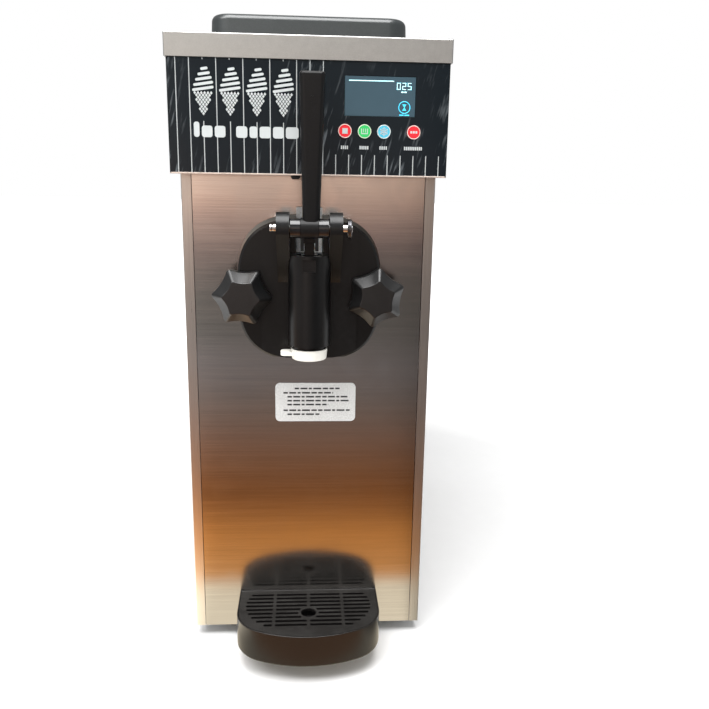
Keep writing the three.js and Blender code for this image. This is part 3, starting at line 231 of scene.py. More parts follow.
class Effect(Enum):
    """Surface effects that several finishes share, each one node group."""

    EDGE_WEAR = "edge_wear"
    BRUSHING = "brushing"
    MOULD_GRAIN = "mould_grain"
    DUST = "dust"
    SMUDGES = "smudges"


class EffectLibrary:
    """Builds each shared effect once and places it in materials."""

    def __init__(self) -> None:
        """Starts with no group built."""
        self.groups: dict[Effect, Tree] = {}

    def place(self, graph: Graph, effect: Effect, inputs: dict[str, object]) -> Node:
        """Puts an effect in a material.

        Args:
            graph: the material's graph.
            effect: which effect.
            inputs: this material's values for it.

        Returns:
            The group node.
        """
        if effect not in self.groups:
            self.groups[effect] = getattr(self, "_" + effect.value)()
        return graph.add("Group", inputs, node_tree=self.groups[effect])

    def _start(self, name: str, inputs: dict[str, float], outputs: Sequence[str]) -> tuple[Graph, dict, dict]:
        """Starts a group with a Vector input, float inputs and float outputs.

        Args:
            name: the group's name.
            inputs: float inputs and their defaults.
            outputs: names of the float outputs.

        Returns:
            The graph, its inputs by name and its output sockets by name.
        """
        tree = bpy.data.node_groups.new(name, "ShaderNodeTree")
        tree.interface.new_socket("Vector", in_out="INPUT", socket_type="NodeSocketVector")
        for label, value in inputs.items():
            socket = tree.interface.new_socket(label, in_out="INPUT", socket_type="NodeSocketFloat")
            socket.default_value = value
        for label in outputs:
            tree.interface.new_socket(label, in_out="OUTPUT", socket_type="NodeSocketFloat")
        graph = Graph(tree)
        entry = tree.nodes.new("NodeGroupInput")
        leave = tree.nodes.new("NodeGroupOutput")
        return graph, {s.name: s for s in entry.outputs}, {s.name: s for s in leave.inputs}

    def _edge_wear(self) -> Tree:
        """Mask of rubbed convex edges, broken up by noise."""
        graph, given, out = self._start("edge_wear", {"Reach": 0.06, "Breakup": 220.0}, ["Mask"])
        bend = graph.add("NewGeometry").outputs["Pointiness"]
        edge = graph.add("MapRange", {0: bend, 1: 0.56, 3: 0.0, 4: 1.0}, clamp=True)
        graph.fill(edge.inputs[2], graph.plus(given["Reach"], 0.6))
        broken = graph.stretch(graph.shiver(given["Vector"], given["Breakup"], 4.0), 0.35, 0.62)
        graph.fill(out["Mask"], graph.times(edge.outputs[0], broken))
        return graph.tree

    def _brushing(self) -> Tree:
        """Fine parallel lines: a tone and a height, from coordinates squeezed across the lines."""
        graph, given, out = self._start("brushing", {"Fineness": 1.0}, ["Tone", "Height"])
        fine = graph.shiver(given["Vector"], given["Fineness"], 5.0)
        wide = graph.shiver(given["Vector"], graph.times(given["Fineness"], 0.13), 3.0)
        both = graph.plus(graph.times(fine, 0.65), graph.times(wide, 0.35))
        graph.fill(out["Tone"], graph.stretch(both, 0.32, 0.68))
        graph.fill(out["Height"], fine)
        return graph.tree

    def _mould_grain(self) -> Tree:
        """Spark-eroded mould texture: a fine pebble height and a tone."""
        graph, given, out = self._start("mould_grain", {"Size": 1500.0}, ["Height", "Tone"])
        cells = {"Vector": given["Vector"], "Scale": given["Size"]}
        pebble = graph.add("TexVoronoi", cells, feature="SMOOTH_F1")
        soft = graph.shiver(given["Vector"], graph.times(given["Size"], 0.5), 3.0)
        graph.fill(out["Height"], graph.plus(graph.times(pebble.outputs[0], 0.5), soft))
        graph.fill(out["Tone"], graph.stretch(soft, 0.3, 0.7))
        return graph.tree

    def _dust(self) -> Tree:
        """Dust that settles on faces that look up, in soft patches."""
        graph, given, out = self._start("dust", {"Amount": 0.3, "Patch": 40.0}, ["Mask"])
        up = graph.add("SeparateXYZ", {0: graph.add("NewGeometry").outputs["Normal"]}).outputs["Z"]
        facing = graph.stretch(up, 0.55, 1.0)
        patch = graph.stretch(graph.shiver(given["Vector"], given["Patch"], 8.0, Roughness=0.7), 0.42, 0.75)
        graph.fill(out["Mask"], graph.times(graph.times(facing, patch), given["Amount"]))
        return graph.tree

    def _smudges(self) -> Tree:
        """Wiped smears and finger marks: a soft mask for roughness and tone."""
        graph, given, out = self._start("smudges", {"Size": 14.0}, ["Mask"])
        warp = graph.shiver(given["Vector"], given["Size"], 2.0, output=1)
        smear = graph.shiver(warp, 5.0, 6.0, Distortion=0.6)
        graph.fill(out["Mask"], graph.stretch(smear, 0.4, 0.7))
        return graph.tree


EFFECTS = EffectLibrary()


# ------------------------------------------------------------------------------------------------ finishes
WHITE: Colour = (1.0, 1.0, 1.0)
DUST_COLOUR: Colour = (0.42, 0.41, 0.39)
PRINT_COLOUR: Colour = (0.42, 0.44, 0.44)
# Pale colour painted along the foil's creases: a painted highlight.
CREASE_HIGHLIGHT_COLOUR: Colour = (0.30, 0.33, 0.35)


@dataclass(frozen=True)
class Finish:
    """A plain surface: colour, roughness and the values every finish has."""

    name: str
    colour: Colour
    roughness: float = 0.4
    metallic: float = 0.0
    coat: float = 0.0
    wear: Colour | None = None
    dust: float = 0.04

    def material(self) -> Material:
        """Builds the material, or gives the one already built under this name."""
        made = bpy.data.materials.get(self.name)
        if made:
            return made
        made = bpy.data.materials.new(self.name)
        made.use_nodes = True
        graph = Graph(made.node_tree)
        coat = {"Coat Weight": self.coat, "Coat Roughness": 0.08}
        shader = graph.add("BsdfPrincipled", {"Metallic": self.metallic, **coat})
        graph.add("OutputMaterial", {0: shader.outputs[0]})
        self.dress(graph, shader)
        return made

    def dress(self, graph: Graph, shader: Node) -> None:
        """Wires colour and roughness into the shader.

        Args:
            graph: the material's graph.
            shader: its Principled BSDF.
        """
        own = graph.place()
        smudge = EFFECTS.place(graph, Effect.SMUDGES, {"Vector": own, "Size": 22.0}).outputs[0]
        self.lay(graph, shader, own, graph.mix(graph.times(smudge, 0.12), self.colour, self.lighter(1.35)))
        rough = graph.stretch(smudge, 0.0, 1.0, self.roughness * 0.88, min(1.0, self.roughness * 1.2))
        graph.fill(shader.inputs["Roughness"], rough)

    def lighter(self, factor: float) -> Colour:
        """The finish's colour, scaled."""
        return tuple(min(1.0, c * factor) for c in self.colour)

    def lay(self, graph: Graph, shader: Node, own: Socket, base: Socket) -> None:
        """Adds wear and dust over a base colour and wires it in.

        Args:
            graph: the material's graph.
            shader: its Principled BSDF.
            own: the piece's coordinates.
            base: colour under the wear and dust.
        """
        if self.wear:
            worn = EFFECTS.place(graph, Effect.EDGE_WEAR, {"Vector": own, "Reach": 0.05}).outputs[0]
            base = graph.mix(worn, base, self.wear)
        dusty = EFFECTS.place(graph, Effect.DUST, {"Vector": own, "Amount": self.dust}).outputs[0]
        graph.fill(shader.inputs["Base Color"], graph.mix(dusty, base, DUST_COLOUR))

    def bump(self, graph: Graph, shader: Node, height: Socket, strength: float, depth: float) -> None:
        """Adds a bump.

        Args:
            graph: the material's graph.
            shader: its Principled BSDF.
            height: the height that it reads.
            strength: share of the bump, 0 to 1.
            depth: height of the bump in metres.
        """
        bump = graph.add("Bump", {"Height": height, "Strength": strength, "Distance": depth})
        graph.fill(shader.inputs["Normal"], bump.outputs[0])


class Lines(Enum):
    """Which way a sheet was brushed; the value squeezes the noise across the lines."""

    ACROSS = (14.0, 14.0, 1500.0)
    UPRIGHT = (1500.0, 1500.0, 14.0)
    LENGTHWISE = (1500.0, 14.0, 1500.0)


@dataclass(frozen=True)
class SheetSteel(Finish):
    """Brushed stainless sheet: fine lines in tone, roughness and height, and stretched highlights."""

    metallic: float = 1.0
    lines: Lines = Lines.ACROSS
    stretch: float = 0.5
    sway: float = 60.0

    def dress(self, graph: Graph, shader: Node) -> None:
        """Wires brushed colour, roughness and bump into the shader."""
        graph.fill(shader.inputs["Anisotropic"], self.stretch)
        graph.fill(shader.inputs["Tangent"], graph.add("CombineXYZ", {"X": 1.0}).outputs[0])
        own = graph.place()
        across = graph.place(self.lines.value)
        lines = EFFECTS.place(graph, Effect.BRUSHING, {"Vector": across, "Fineness": 1.0})
        tone = graph.mix(lines.outputs["Tone"], self.lighter(0.9), self.lighter(1.06))
        smudge = EFFECTS.place(graph, Effect.SMUDGES, {"Vector": own, "Size": 9.0}).outputs[0]
        self.lay(graph, shader, own, graph.mix(graph.times(smudge, 0.1), tone, self.lighter(0.8)))
        fine = graph.stretch(lines.outputs["Tone"], 0.0, 1.0, self.roughness * 0.85, self.roughness * 1.15)
        graph.fill(shader.inputs["Roughness"], graph.plus(fine, graph.times(smudge, 0.05)))
        relief = graph.plus(lines.outputs["Height"], graph.times(graph.shiver(own, 5.0, 1.0), self.sway))
        self.bump(graph, shader, relief, 0.08, 0.12 * MM)


@dataclass(frozen=True)
class Moulding(Finish):
    """Moulded plastic or rubber with a spark-eroded grain."""

    grain: float = 1700.0
    relief: float = 0.18
    sheen: float = 0.5

    def dress(self, graph: Graph, shader: Node) -> None:
        """Wires grained colour, roughness and bump into the shader."""
        own = graph.place()
        grain = EFFECTS.place(graph, Effect.MOULD_GRAIN, {"Vector": own, "Size": self.grain})
        smudge = EFFECTS.place(graph, Effect.SMUDGES, {"Vector": own, "Size": 18.0}).outputs[0]
        tone = graph.mix(grain.outputs["Tone"], self.lighter(0.82), self.lighter(1.2))
        self.lay(graph, shader, own, graph.mix(graph.times(smudge, 0.08), tone, self.lighter(1.7)))
        rough = graph.stretch(smudge, 0.0, 1.0, self.roughness * 0.95, min(1.0, self.roughness * 1.06))
        graph.fill(shader.inputs["Roughness"], rough)
        graph.fill(shader.inputs["Specular IOR Level"], self.sheen)
        self.bump(graph, shader, grain.outputs["Height"], self.relief, 0.1 * MM)


@dataclass(frozen=True)
class Milky(Moulding):
    """Cloudy white plastic that light sinks into."""

    relief: float = 0.05

    def dress(self, graph: Graph, shader: Node) -> None:
        """Adds light carried under the surface to the moulded plastic."""
        super().dress(graph, shader)
        graph.fill(shader.inputs["Subsurface Weight"], 0.35)
        graph.fill(shader.inputs["Subsurface Radius"], (4.0 * MM, 3.5 * MM, 3.0 * MM))
        graph.fill(shader.inputs["Subsurface Scale"], 0.5)


@dataclass(frozen=True)
class Lit(Finish):
    """A glowing surface, slightly uneven: the display's real backlight, and on the keys a painted glow."""

    glow: float = 1.0

    def dress(self, graph: Graph, shader: Node) -> None:
        """Adds a slightly uneven glow to the plain surface."""
        super().dress(graph, shader)
        graph.fill(shader.inputs["Emission Strength"], self.glow)
        level = graph.stretch(graph.shiver(graph.place(), 60.0, 1.0), 0.2, 0.8)
        graph.fill(shader.inputs["Emission Color"], graph.mix(level, self.lighter(0.85), self.lighter(1.1)))


@dataclass(frozen=True)
class PaleFloor(Finish):
    """A pale floor that fades into a white room away from the machine."""

    near: float = 0.55
    far: float = 1.3

    def dress(self, graph: Graph, shader: Node) -> None:
        """Adds the fade to white to the plain surface."""
        super().dress(graph, shader)
        reach = graph.add("VectorMath", {0: graph.place()}, operation="LENGTH").outputs["Value"]
        graph.fill(shader.inputs["Emission Color"], WHITE)
        seen = graph.add("LightPath").outputs["Is Camera Ray"]
        glow = graph.times(graph.stretch(reach, self.near, self.far), seen)
        graph.fill(shader.inputs["Emission Strength"], glow)


@dataclass(frozen=True)
class FilmFascia(Finish):
    """Printed glossy film: white pinstripes, and creases in its protective foil with a pale painted highlight
    along them.
    """

    pitch: float = 11.83 * MM
    first: float = -118.2 * MM
    line: float = 0.75 * MM
    full_until: float = 18.0 * MM
    short_top: float = 0.5262
    print_middle: float = 0.579
    print_half: float = 0.026
    row_middle: float = -0.059
    row_half: float = 0.05
    half_wide: float = 0.1215

    def dress(self, graph: Graph, shader: Node) -> None:
        """Wires stripes, the foil's creases with their painted highlight, and gloss into the shader."""
        along = graph.add("SeparateXYZ", {0: graph.place()})
        x, z = along.outputs["X"], along.outputs["Z"]
        crease_and_highlight = self._creases_and_highlights(graph, x, z)
        printed = graph.mix(self._stripes(graph, x, z), self.colour, PRINT_COLOUR)
        # The creases get a pale painted highlight over the print; the bump and rougher foil below are the
        # creases themselves.
        graph.fill(shader.inputs["Base Color"], graph.mix(graph.times(crease_and_highlight, 0.42), printed, CREASE_HIGHLIGHT_COLOUR))
        graph.fill(shader.inputs["Roughness"], graph.stretch(crease_and_highlight, 0.0, 1.0, self.roughness, 0.5))
        graph.fill(shader.inputs["Specular IOR Level"], 0.16)
        self.bump(graph, shader, crease_and_highlight, 0.35, 0.4 * MM)

    def _stripes(self, graph: Graph, x: Socket, z: Socket) -> Socket:
        """Masks the pinstripes.

        Args:
            graph: the material's graph.
            x: place along the fascia.
            z: height.

        Returns:
            1 on a stripe: full height on the left but behind the printed row, short ones on the right.
        """
        phase = graph.plus(graph.minus(x, self.first), self.pitch / 2)
        offset = graph.away(graph.minus(graph.math("FLOORED_MODULO", phase, self.pitch), self.pitch / 2))
        shape = graph.math("MAXIMUM", graph.below(x, self.full_until), graph.below(z, self.short_top))
        every_second = graph.below(graph.math("FLOORED_MODULO", phase, 2 * self.pitch), self.pitch)
        in_row = graph.times(
            graph.below(graph.away(z, self.print_middle), self.print_half),
            graph.below(graph.away(x, self.row_middle), self.row_half),
        )
        open_air = graph.minus(1.0, graph.times(in_row, every_second))
        inside = graph.below(graph.away(x), self.half_wide)
        stripe = graph.times(graph.below(offset, self.line / 2), open_air)
        return graph.times(shape, graph.times(stripe, inside))

    def _creases_and_highlights(self, graph: Graph, x: Socket, z: Socket) -> Socket:
        """Masks the slanted creases and their painted highlight, more of them at the ends and the foot.

        Args:
            graph: the material's graph.
            x: place along the fascia.
            z: height.

        Returns:
            The strength of the creases and of their painted highlight.
        """
        slant = graph.minus(x, graph.times(z, 0.27))
        squeezed = {"X": graph.times(slant, 260.0), "Z": graph.times(z, 36.0)}
        spread = graph.add("CombineXYZ", squeezed).outputs[0]
        streak = graph.stretch(graph.shiver(spread, 1.0, 3.0), 0.565, 0.68)
        patch = graph.stretch(graph.shiver(graph.place((14.0, 14.0, 22.0)), 1.0, 2.0), 0.5, 0.72, 0.0, 0.8)
        ends = graph.times(graph.stretch(graph.away(x), 0.108, 0.125), 0.9)
        foot = graph.times(graph.stretch(z, 0.532, 0.508), 0.75)
        room = graph.plus(patch, graph.times(graph.math("MAXIMUM", ends, foot), 0.5))
        return graph.math("MULTIPLY", streak, room, clamp=True)


STEEL_COLOUR: Colour = (0.62, 0.60, 0.575)
STEEL = SheetSteel("brushed_steel_across", STEEL_COLOUR, 0.165)
# Same stainless as the front panel: its upright brushing is real, and its lighter colour is painted
# reflection that brightens the side flanges and the hood.
STEEL_SIDE = SheetSteel("brushed_steel_side", (0.70, 0.675, 0.64), 0.3, metallic=0.96, lines=Lines.UPRIGHT)
STEEL_TOP = SheetSteel("brushed_steel_top", (0.55, 0.54, 0.52), 0.36, metallic=0.85, lines=Lines.LENGTHWISE)
TANK = SheetSteel("hopper_steel", (0.66, 0.65, 0.63), 0.22)
GALVANISED = SheetSteel("galvanised_sheet", (0.47, 0.48, 0.49), 0.45, stretch=0.1)
CHROME = Finish("polished_steel", (0.82, 0.82, 0.82), 0.1, 1.0)
DARK_CHROME = Finish("spring_steel", (0.2, 0.2, 0.21), 0.28, 1.0)
BLACK = Moulding("black_moulding", (0.0065, 0.0065, 0.0069), 0.36, wear=(0.03, 0.03, 0.03), sheen=0.26)
HEAD_WEAR: Colour = (0.008, 0.008, 0.0084)
KNOB_WEAR: Colour = (0.07, 0.07, 0.07)
TRAY_WEAR: Colour = (0.06, 0.055, 0.05)
HEAD_BLACK = Moulding(
    "black_head_moulding", (0.0045, 0.0046, 0.0049), 0.32, wear=HEAD_WEAR, relief=0.03, sheen=0.42
)
KNOB_BLACK = Moulding(
    "black_textured_knob", (0.005, 0.005, 0.0053), 0.36, wear=KNOB_WEAR, grain=1100.0, relief=0.4, sheen=0.8
)
# Dark slate black plastic; its raised grey-green tone is also a painted reflection on the lid's front.
LID_SLATE_AND_REFLECTION = Moulding("slate_lid_painted_reflection", (0.026, 0.031, 0.032), 0.34, wear=(0.08, 0.085, 0.09), sheen=0.9)
TRAY_BLACK = Moulding(
    "brown_black_tray", (0.009, 0.0082, 0.0078), 0.24, wear=TRAY_WEAR, relief=0.08, sheen=0.42
)
HUB_GLOSS = Finish("gloss_black_hub", (0.008, 0.008, 0.009), 0.12, coat=0.5)
RUBBER = Moulding("black_rubber", (0.014, 0.014, 0.014), 0.72, grain=900.0, relief=0.3, dust=0.3)
MILKY = Milky("milky_plastic", (0.36, 0.33, 0.295), 0.35)
WHITE_PLATE = Milky("white_plate", (0.86, 0.86, 0.84), 0.35)
FASCIA = FilmFascia("printed_fascia_film", (0.0070, 0.0100, 0.0128), 0.16)
GLASS = Lit("display_backlight", (0.026, 0.055, 0.074), 0.14, coat=0.2, glow=0.3)
LCD = Lit("display_figures", (0.5, 0.92, 1.0), 0.3, glow=1.1)
LCD_BLUE = Lit("display_icon", (0.05, 0.5, 0.72), 0.3, glow=0.9)
PRINT = Finish("white_print", (0.50, 0.525, 0.525), 0.4, dust=0.0)
PRINT_DARK = Finish("dark_print", (0.03, 0.03, 0.033), 0.5, dust=0.0)
KEY_RING = Finish("key_ring_print", (0.72, 0.66, 0.6), 0.35, dust=0.0)
# The keys are plain glossy caps, not lamps: their glow is painted light that brightens them.
RED = Lit("red_key", (0.80, 0.012, 0.025), 0.3, coat=0.4, glow=0.35)
GREEN = Lit("green_key", (0.02, 0.45, 0.11), 0.3, coat=0.4, glow=0.35)
BLUE = Lit("blue_key", (0.07, 0.40, 0.55), 0.3, coat=0.4, glow=0.35)
PAPER = Moulding("label_film", (0.60, 0.60, 0.585), 0.45, relief=0.04)
FOAM = Moulding("foam", (0.03, 0.03, 0.032), 0.9, grain=500.0, relief=0.6)
ENAMEL = Finish("dark_enamel", (0.012, 0.013, 0.015), 0.3, coat=0.3)
COPPER = SheetSteel("drawn_copper", (0.72, 0.33, 0.19), 0.25, stretch=0.2)
FINS = SheetSteel("condenser_fins", (0.6, 0.61, 0.62), 0.35, lines=Lines.UPRIGHT)
BOARD = Finish("solder_mask", (0.01, 0.09, 0.03), 0.4, coat=0.3)
# Pale strip colour: a painted highlight along the cut edge of the clear foil.
FILM_EDGE_HIGHLIGHT = Finish("film_edge", (0.62, 0.52, 0.46), 0.3, 0.3)


# ----------------------------------------------------------------------------------------------- workbench
class Part(Enum):
    """What an edit-mode step selects."""

    VERT = "VERT"
    EDGE = "EDGE"
    FACE = "FACE"


AXES: dict[str, Vector] = {"x": Vector((1, 0, 0)), "y": Vector((0, 1, 0)), "z": Vector((0, 0, 1))}
TOUCHING = 0.01 * MM  # how close two places are to count as one
FACING = 0.9  # least share of a normal along an axis for a face that looks that way
STRAIGHT = 0.99
FLAT = 0.9999


def looks(axis: str, side: int, least: float = FACING) -> Test:
    """Makes a test for faces that look along an axis, on one side."""
    return lambda middle, normal: side * getattr(normal, axis) > least


def runs(axis: str) -> Test:
    """Makes a test for edges that run along an axis."""
    return lambda middle, run: abs(getattr(run, axis)) > STRAIGHT


def level(height: float) -> Test:
    """Makes a test for what lies at a height."""
    return lambda middle, direction: abs(middle.z - height) < TOUCHING


def anything(middle: Vector, direction: Vector) -> bool:
    """Accepts everything."""
    return True


def centre_of(node: str) -> Point:
    """Gives the middle of a node's box."""
    low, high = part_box(node)
    return tuple((a + b) / 2 for a, b in zip(low, high))


class Bench:
    """The modelling tools, used on one new piece at a time."""

    @staticmethod
    def hold(*pieces: Object) -> None:
        """Selects only these pieces and makes the first the active one."""
        if bpy.context.object and bpy.context.object.mode != "OBJECT":
            bpy.ops.object.mode_set(mode="OBJECT")
        bpy.ops.object.select_all(action="DESELECT")
        for piece in pieces:
            piece.select_set(True)
        if pieces:
            bpy.context.view_layer.objects.active = pieces[0]

    @staticmethod
    def take(name: str) -> Object:
        """Names the primitive just added and settles its place into its mesh."""
        piece = bpy.context.active_object
        piece.name = piece.data.name = name
        bpy.ops.object.transform_apply(location=True, rotation=True, scale=True)
        return piece

    @staticmethod
    def block(name: str, low: Sequence[float], high: Sequence[float]) -> Object:
        """Adds a block between two corners."""
        Bench.hold()
        middle = [(a + b) / 2 for a, b in zip(low, high)]
        bpy.ops.mesh.primitive_cube_add(size=1, location=middle, scale=[b - a for a, b in zip(low, high)])
        return Bench.take(name)

    @staticmethod
    def rod(
        name: str,
        axis: str,
        ends: Flat,
        centre: Flat,
        radius: float,
        sides: int = 64,
        tip: float | None = None,
    ) -> Object:
        """Adds a round bar, or a cone if tip is given, along an axis.

        Args:
            name: the piece's name.
            axis: x, y or z.
            ends: where it starts and ends along the axis.
            centre: its other two coordinates, in x, y, z order.
            radius: radius at the start.
            sides: how many sides it has.
            tip: radius at the end, if it differs.

        Returns:
            The piece.
        """
        Bench.hold()
        place = {"x": (0.0, *centre), "y": (centre[0], 0.0, centre[1]), "z": (*centre, 0.0)}[axis]
        middle = Vector(place) + AXES[axis] * (ends[0] + ends[1]) / 2
        turn = {"x": (0, math.pi / 2, 0), "y": (-math.pi / 2, 0, 0), "z": (0, 0, 0)}[axis]
        bpy.ops.mesh.primitive_cone_add(
            vertices=sides,
            radius1=radius,
            radius2=radius if tip is None else tip,
            depth=ends[1] - ends[0],
            location=middle,
            rotation=turn,
        )
        return Bench.take(name)

    @staticmethod
    def ring(
        name: str, axis: str, centre: Point, radius: float, wire: float, sides: int = 64, around: int = 14
    ) -> Object:
        """Adds a round ring whose hole looks along an axis."""
        Bench.hold()
        turn = {"x": (0, math.pi / 2, 0), "y": (math.pi / 2, 0, 0), "z": (0, 0, 0)}[axis]
        bpy.ops.mesh.primitive_torus_add(
            location=centre,
            rotation=turn,
            major_radius=radius,
            minor_radius=wire,
            major_segments=sides,
            minor_segments=around,
        )
        return Bench.take(name)

    @staticmethod
    def outline(name: str, points: Sequence[Flat], z0: float, z1: float) -> Object:
        """Raises a flat outline in X and Y from z0 to z1.

        Args:
            name: the piece's name.
            points: the outline, counter-clockwise seen from above.
            z0: lower height.
            z1: upper height.

        Returns:
            The piece.
        """
        Bench.hold()
        bpy.ops.mesh.primitive_circle_add(vertices=len(points), radius=1, fill_type="NGON")
        piece = Bench.take(name)
        for vertex, (x, y) in zip(piece.data.vertices, points):
            vertex.co = (x, y, z0)
        with Bench.editing(piece, Part.FACE):
            bpy.ops.mesh.select_all(action="SELECT")
            bpy.ops.mesh.extrude_region_move(TRANSFORM_OT_translate={"value": (0, 0, z1 - z0)})
            bpy.ops.mesh.select_all(action="SELECT")
            bpy.ops.mesh.normals_make_consistent(inside=False)
        return piece

    @staticmethod
    def copy_node(node: str, name: str) -> Object:
        """Copies a frame node's solid as a new piece, merged and with flat faces whole."""
        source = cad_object(node)
        piece = source.copy()
        piece.data = source.data.copy()
        piece.name = piece.data.name = name
        piece.data.materials.clear()
        bpy.context.scene.collection.objects.link(piece)
        with Bench.editing(piece, Part.VERT):
            bpy.ops.mesh.select_all(action="SELECT")
            bpy.ops.mesh.remove_doubles(threshold=0.000002)
            bpy.ops.mesh.dissolve_limited(angle_limit=math.radians(0.5))
        return piece

    @staticmethod
    @contextmanager
    def editing(piece: Object, part: Part) -> Iterator[None]:
        """Opens a piece in edit mode, with nothing selected, and closes it again."""
        Bench.hold(piece)
        piece.hide_set(False)
        bpy.ops.object.mode_set(mode="EDIT")
        bpy.ops.mesh.select_mode(type=part.value)
        bpy.ops.mesh.select_all(action="DESELECT")
        yield
        bpy.ops.object.mode_set(mode="OBJECT")

    @staticmethod
    def pick(piece: Object, part: Part, test: Test) -> int:
        """Selects what a test accepts, in edit mode.

        Args:
            piece: the piece in edit mode.
            part: verts, edges or faces.
            test: takes the middle and the direction (an edge's run, a face's normal) and accepts or not.

        Returns:
            How many were selected.
        """
        mesh = bmesh.from_edit_mesh(piece.data)
        mesh.normal_update()
        count = 0
        for item in {Part.VERT: mesh.verts, Part.EDGE: mesh.edges, Part.FACE: mesh.faces}[part]:
            if part is Part.VERT:
                chosen = test(item.co, item.normal)
            elif part is Part.EDGE:
                a, b = item.verts
                chosen = test((a.co + b.co) / 2, (b.co - a.co).normalized())
            else:
                chosen = test(item.calc_center_median(), item.normal)
            item.select_set(bool(chosen))
            count += bool(chosen)
        mesh.select_flush_mode()
        bmesh.update_edit_mesh(piece.data)
        return count

    @staticmethod
    def bevel(piece: Object, test: Test, width: float, segments: int = 3) -> None:
        """Rounds the edges that a test accepts."""
        with Bench.editing(piece, Part.EDGE):
            if Bench.pick(piece, Part.EDGE, test):
                bpy.ops.mesh.bevel(offset=width, offset_type="OFFSET", segments=segments, profile=0.5)

    @staticmethod
    def inset(piece: Object, test: Test, thickness: float, depth: float = 0.0) -> None:
        """Insets the faces that a test accepts and moves them along their normal."""
        with Bench.editing(piece, Part.FACE):
            if Bench.pick(piece, Part.FACE, test):
                bpy.ops.mesh.inset(thickness=thickness, depth=depth, use_even_offset=True)

    @staticmethod
    def extrude(piece: Object, test: Test, steps: Sequence[tuple[Point, float]], centre: Point) -> None:
        """Extrudes faces in steps.

        Args:
            piece: the piece.
            test: which faces.
            steps: each a move and the size of the faces after it, as a share of their size before.
            centre: what each resize is about.
        """
        with Bench.editing(piece, Part.FACE):
            Bench.pick(piece, Part.FACE, test)
            for move, share in steps:
                bpy.ops.mesh.extrude_region_move(TRANSFORM_OT_translate={"value": move})
                bpy.ops.transform.resize(value=(share, share, share), center_override=Vector(centre))

    @staticmethod
    def resize(piece: Object, part: Part, test: Test, shares: Point, centre: Point) -> None:
        """Scales what a test accepts about a point."""
        with Bench.editing(piece, part):
            if Bench.pick(piece, part, test):
                bpy.ops.transform.resize(value=shares, center_override=Vector(centre))

    @staticmethod
    def spin(piece: Object, angle: float, axis: str, about: Sequence[float]) -> None:
        """Turns a whole piece about a point."""
        with Bench.editing(piece, Part.FACE):
            bpy.ops.mesh.select_all(action="SELECT")
            bpy.ops.transform.rotate(value=angle, orient_axis=axis, center_override=Vector(about))

    @staticmethod
    def apply(piece: Object, kind: str, **settings: object) -> None:
        """Adds a modifier with its settings and applies it."""
        Bench.hold(piece)
        modifier = piece.modifiers.new(kind.lower(), kind)
        for key, value in settings.items():
            setattr(modifier, key, value)
        bpy.ops.object.modifier_apply(modifier=modifier.name)

    @staticmethod
    def unite(piece: Object, *others: Object) -> Object:
        """Joins solids into the first one."""
        for other in others:
            Bench.apply(piece, "BOOLEAN", operation="UNION", object=other, solver="EXACT")
            bpy.data.objects.remove(other)
        return piece

    @staticmethod
    def cut(piece: Object, *tools: Object, operation: str = "DIFFERENCE") -> Object:
        """Takes solids away from the first one, or keeps only what they share."""
        for tool in tools:
            Bench.apply(piece, "BOOLEAN", operation=operation, object=tool, solver="EXACT")
            bpy.data.objects.remove(tool)
        return piece

    @staticmethod
    def gather(name: str, pieces: Sequence[Object]) -> Object:
        """Makes separate shells one piece."""
        Bench.hold(*pieces)
        bpy.ops.object.join()
        pieces[0].name = pieces[0].data.name = name
        return pieces[0]

    @staticmethod
    def soften(piece: Object, width: float, segments: int = 2, angle: float = 32.0) -> Object:
        """Rounds every sharp edge a little and shades the piece smooth."""
        if width:
            limits = {"limit_method": "ANGLE", "angle_limit": math.radians(angle)}
            Bench.apply(piece, "BEVEL", width=width, segments=segments, **limits)
        Bench.hold(piece)
        bpy.ops.object.shade_smooth_by_angle(angle=math.radians(38))
        Bench.apply(piece, "WEIGHTED_NORMAL", keep_sharp=True, weight=60)
        return piece

    @staticmethod
    def again(piece: Object, name: str, move: Point) -> Object:
        """Copies a piece and moves the copy."""
        copy = piece.copy()
        copy.data = piece.data.copy()
        copy.name = copy.data.name = name
        bpy.context.scene.collection.objects.link(copy)
        copy.data.transform(Matrix.Translation(Vector(move)))
        return copy


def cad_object(node: str) -> Object:
    """Gives the frame's own object for a node."""
    return frame["nodes"][node]


class Assembly:
    """What every sub-assembly shares: dressing frame nodes and settling new pieces on their bodies."""

    body_of: dict[str, str] = {
        node: body for body, nodes in frame["record"]["behaviour"]["bodies"].items() for node in nodes
    }
    slot_of: dict[str, str] = {part["node"]: part["material_slot"] for part in frame["record"]["subparts"]}

    def build(self) -> None:
        """Builds the sub-assembly."""
        raise NotImplementedError

    def dress(self, finish: Finish, *nodes: str) -> None:
        """Gives frame nodes that stay as they are a finish."""
        for node in nodes:
            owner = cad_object(node)
            owner.data.materials.clear()
            owner.data.materials.append(finish.material())
            LOG.info("dressed %s in %s", node, finish.name)

    def settle(self, piece: Object, node: str, finish: Finish, stands_for: bool = False) -> Object:
        """Dresses a new piece and lets it ride with a node's body.

        Args:
            piece: the new piece.
            node: the node whose body it takes.
            finish: its finish.
            stands_for: whether it takes the node's place.

        Returns:
            The piece.
        """
        piece.data.materials.clear()
        piece.data.materials.append(finish.material())
        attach(piece, self.body_of[node])
        if stands_for:
            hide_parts(node)
        LOG.info("built %s on %s with %d faces", piece.name, self.body_of[node], len(piece.data.polygons))
        return piece

    def refine(self, node: str, finish: Finish, width: float, segments: int = 2) -> Object:
        """Stands a softened copy in for a node."""
        piece = Bench.copy_node(node, node + "_shape")
        Bench.soften(piece, width, segments)
        return self.settle(piece, node, finish, stands_for=True)


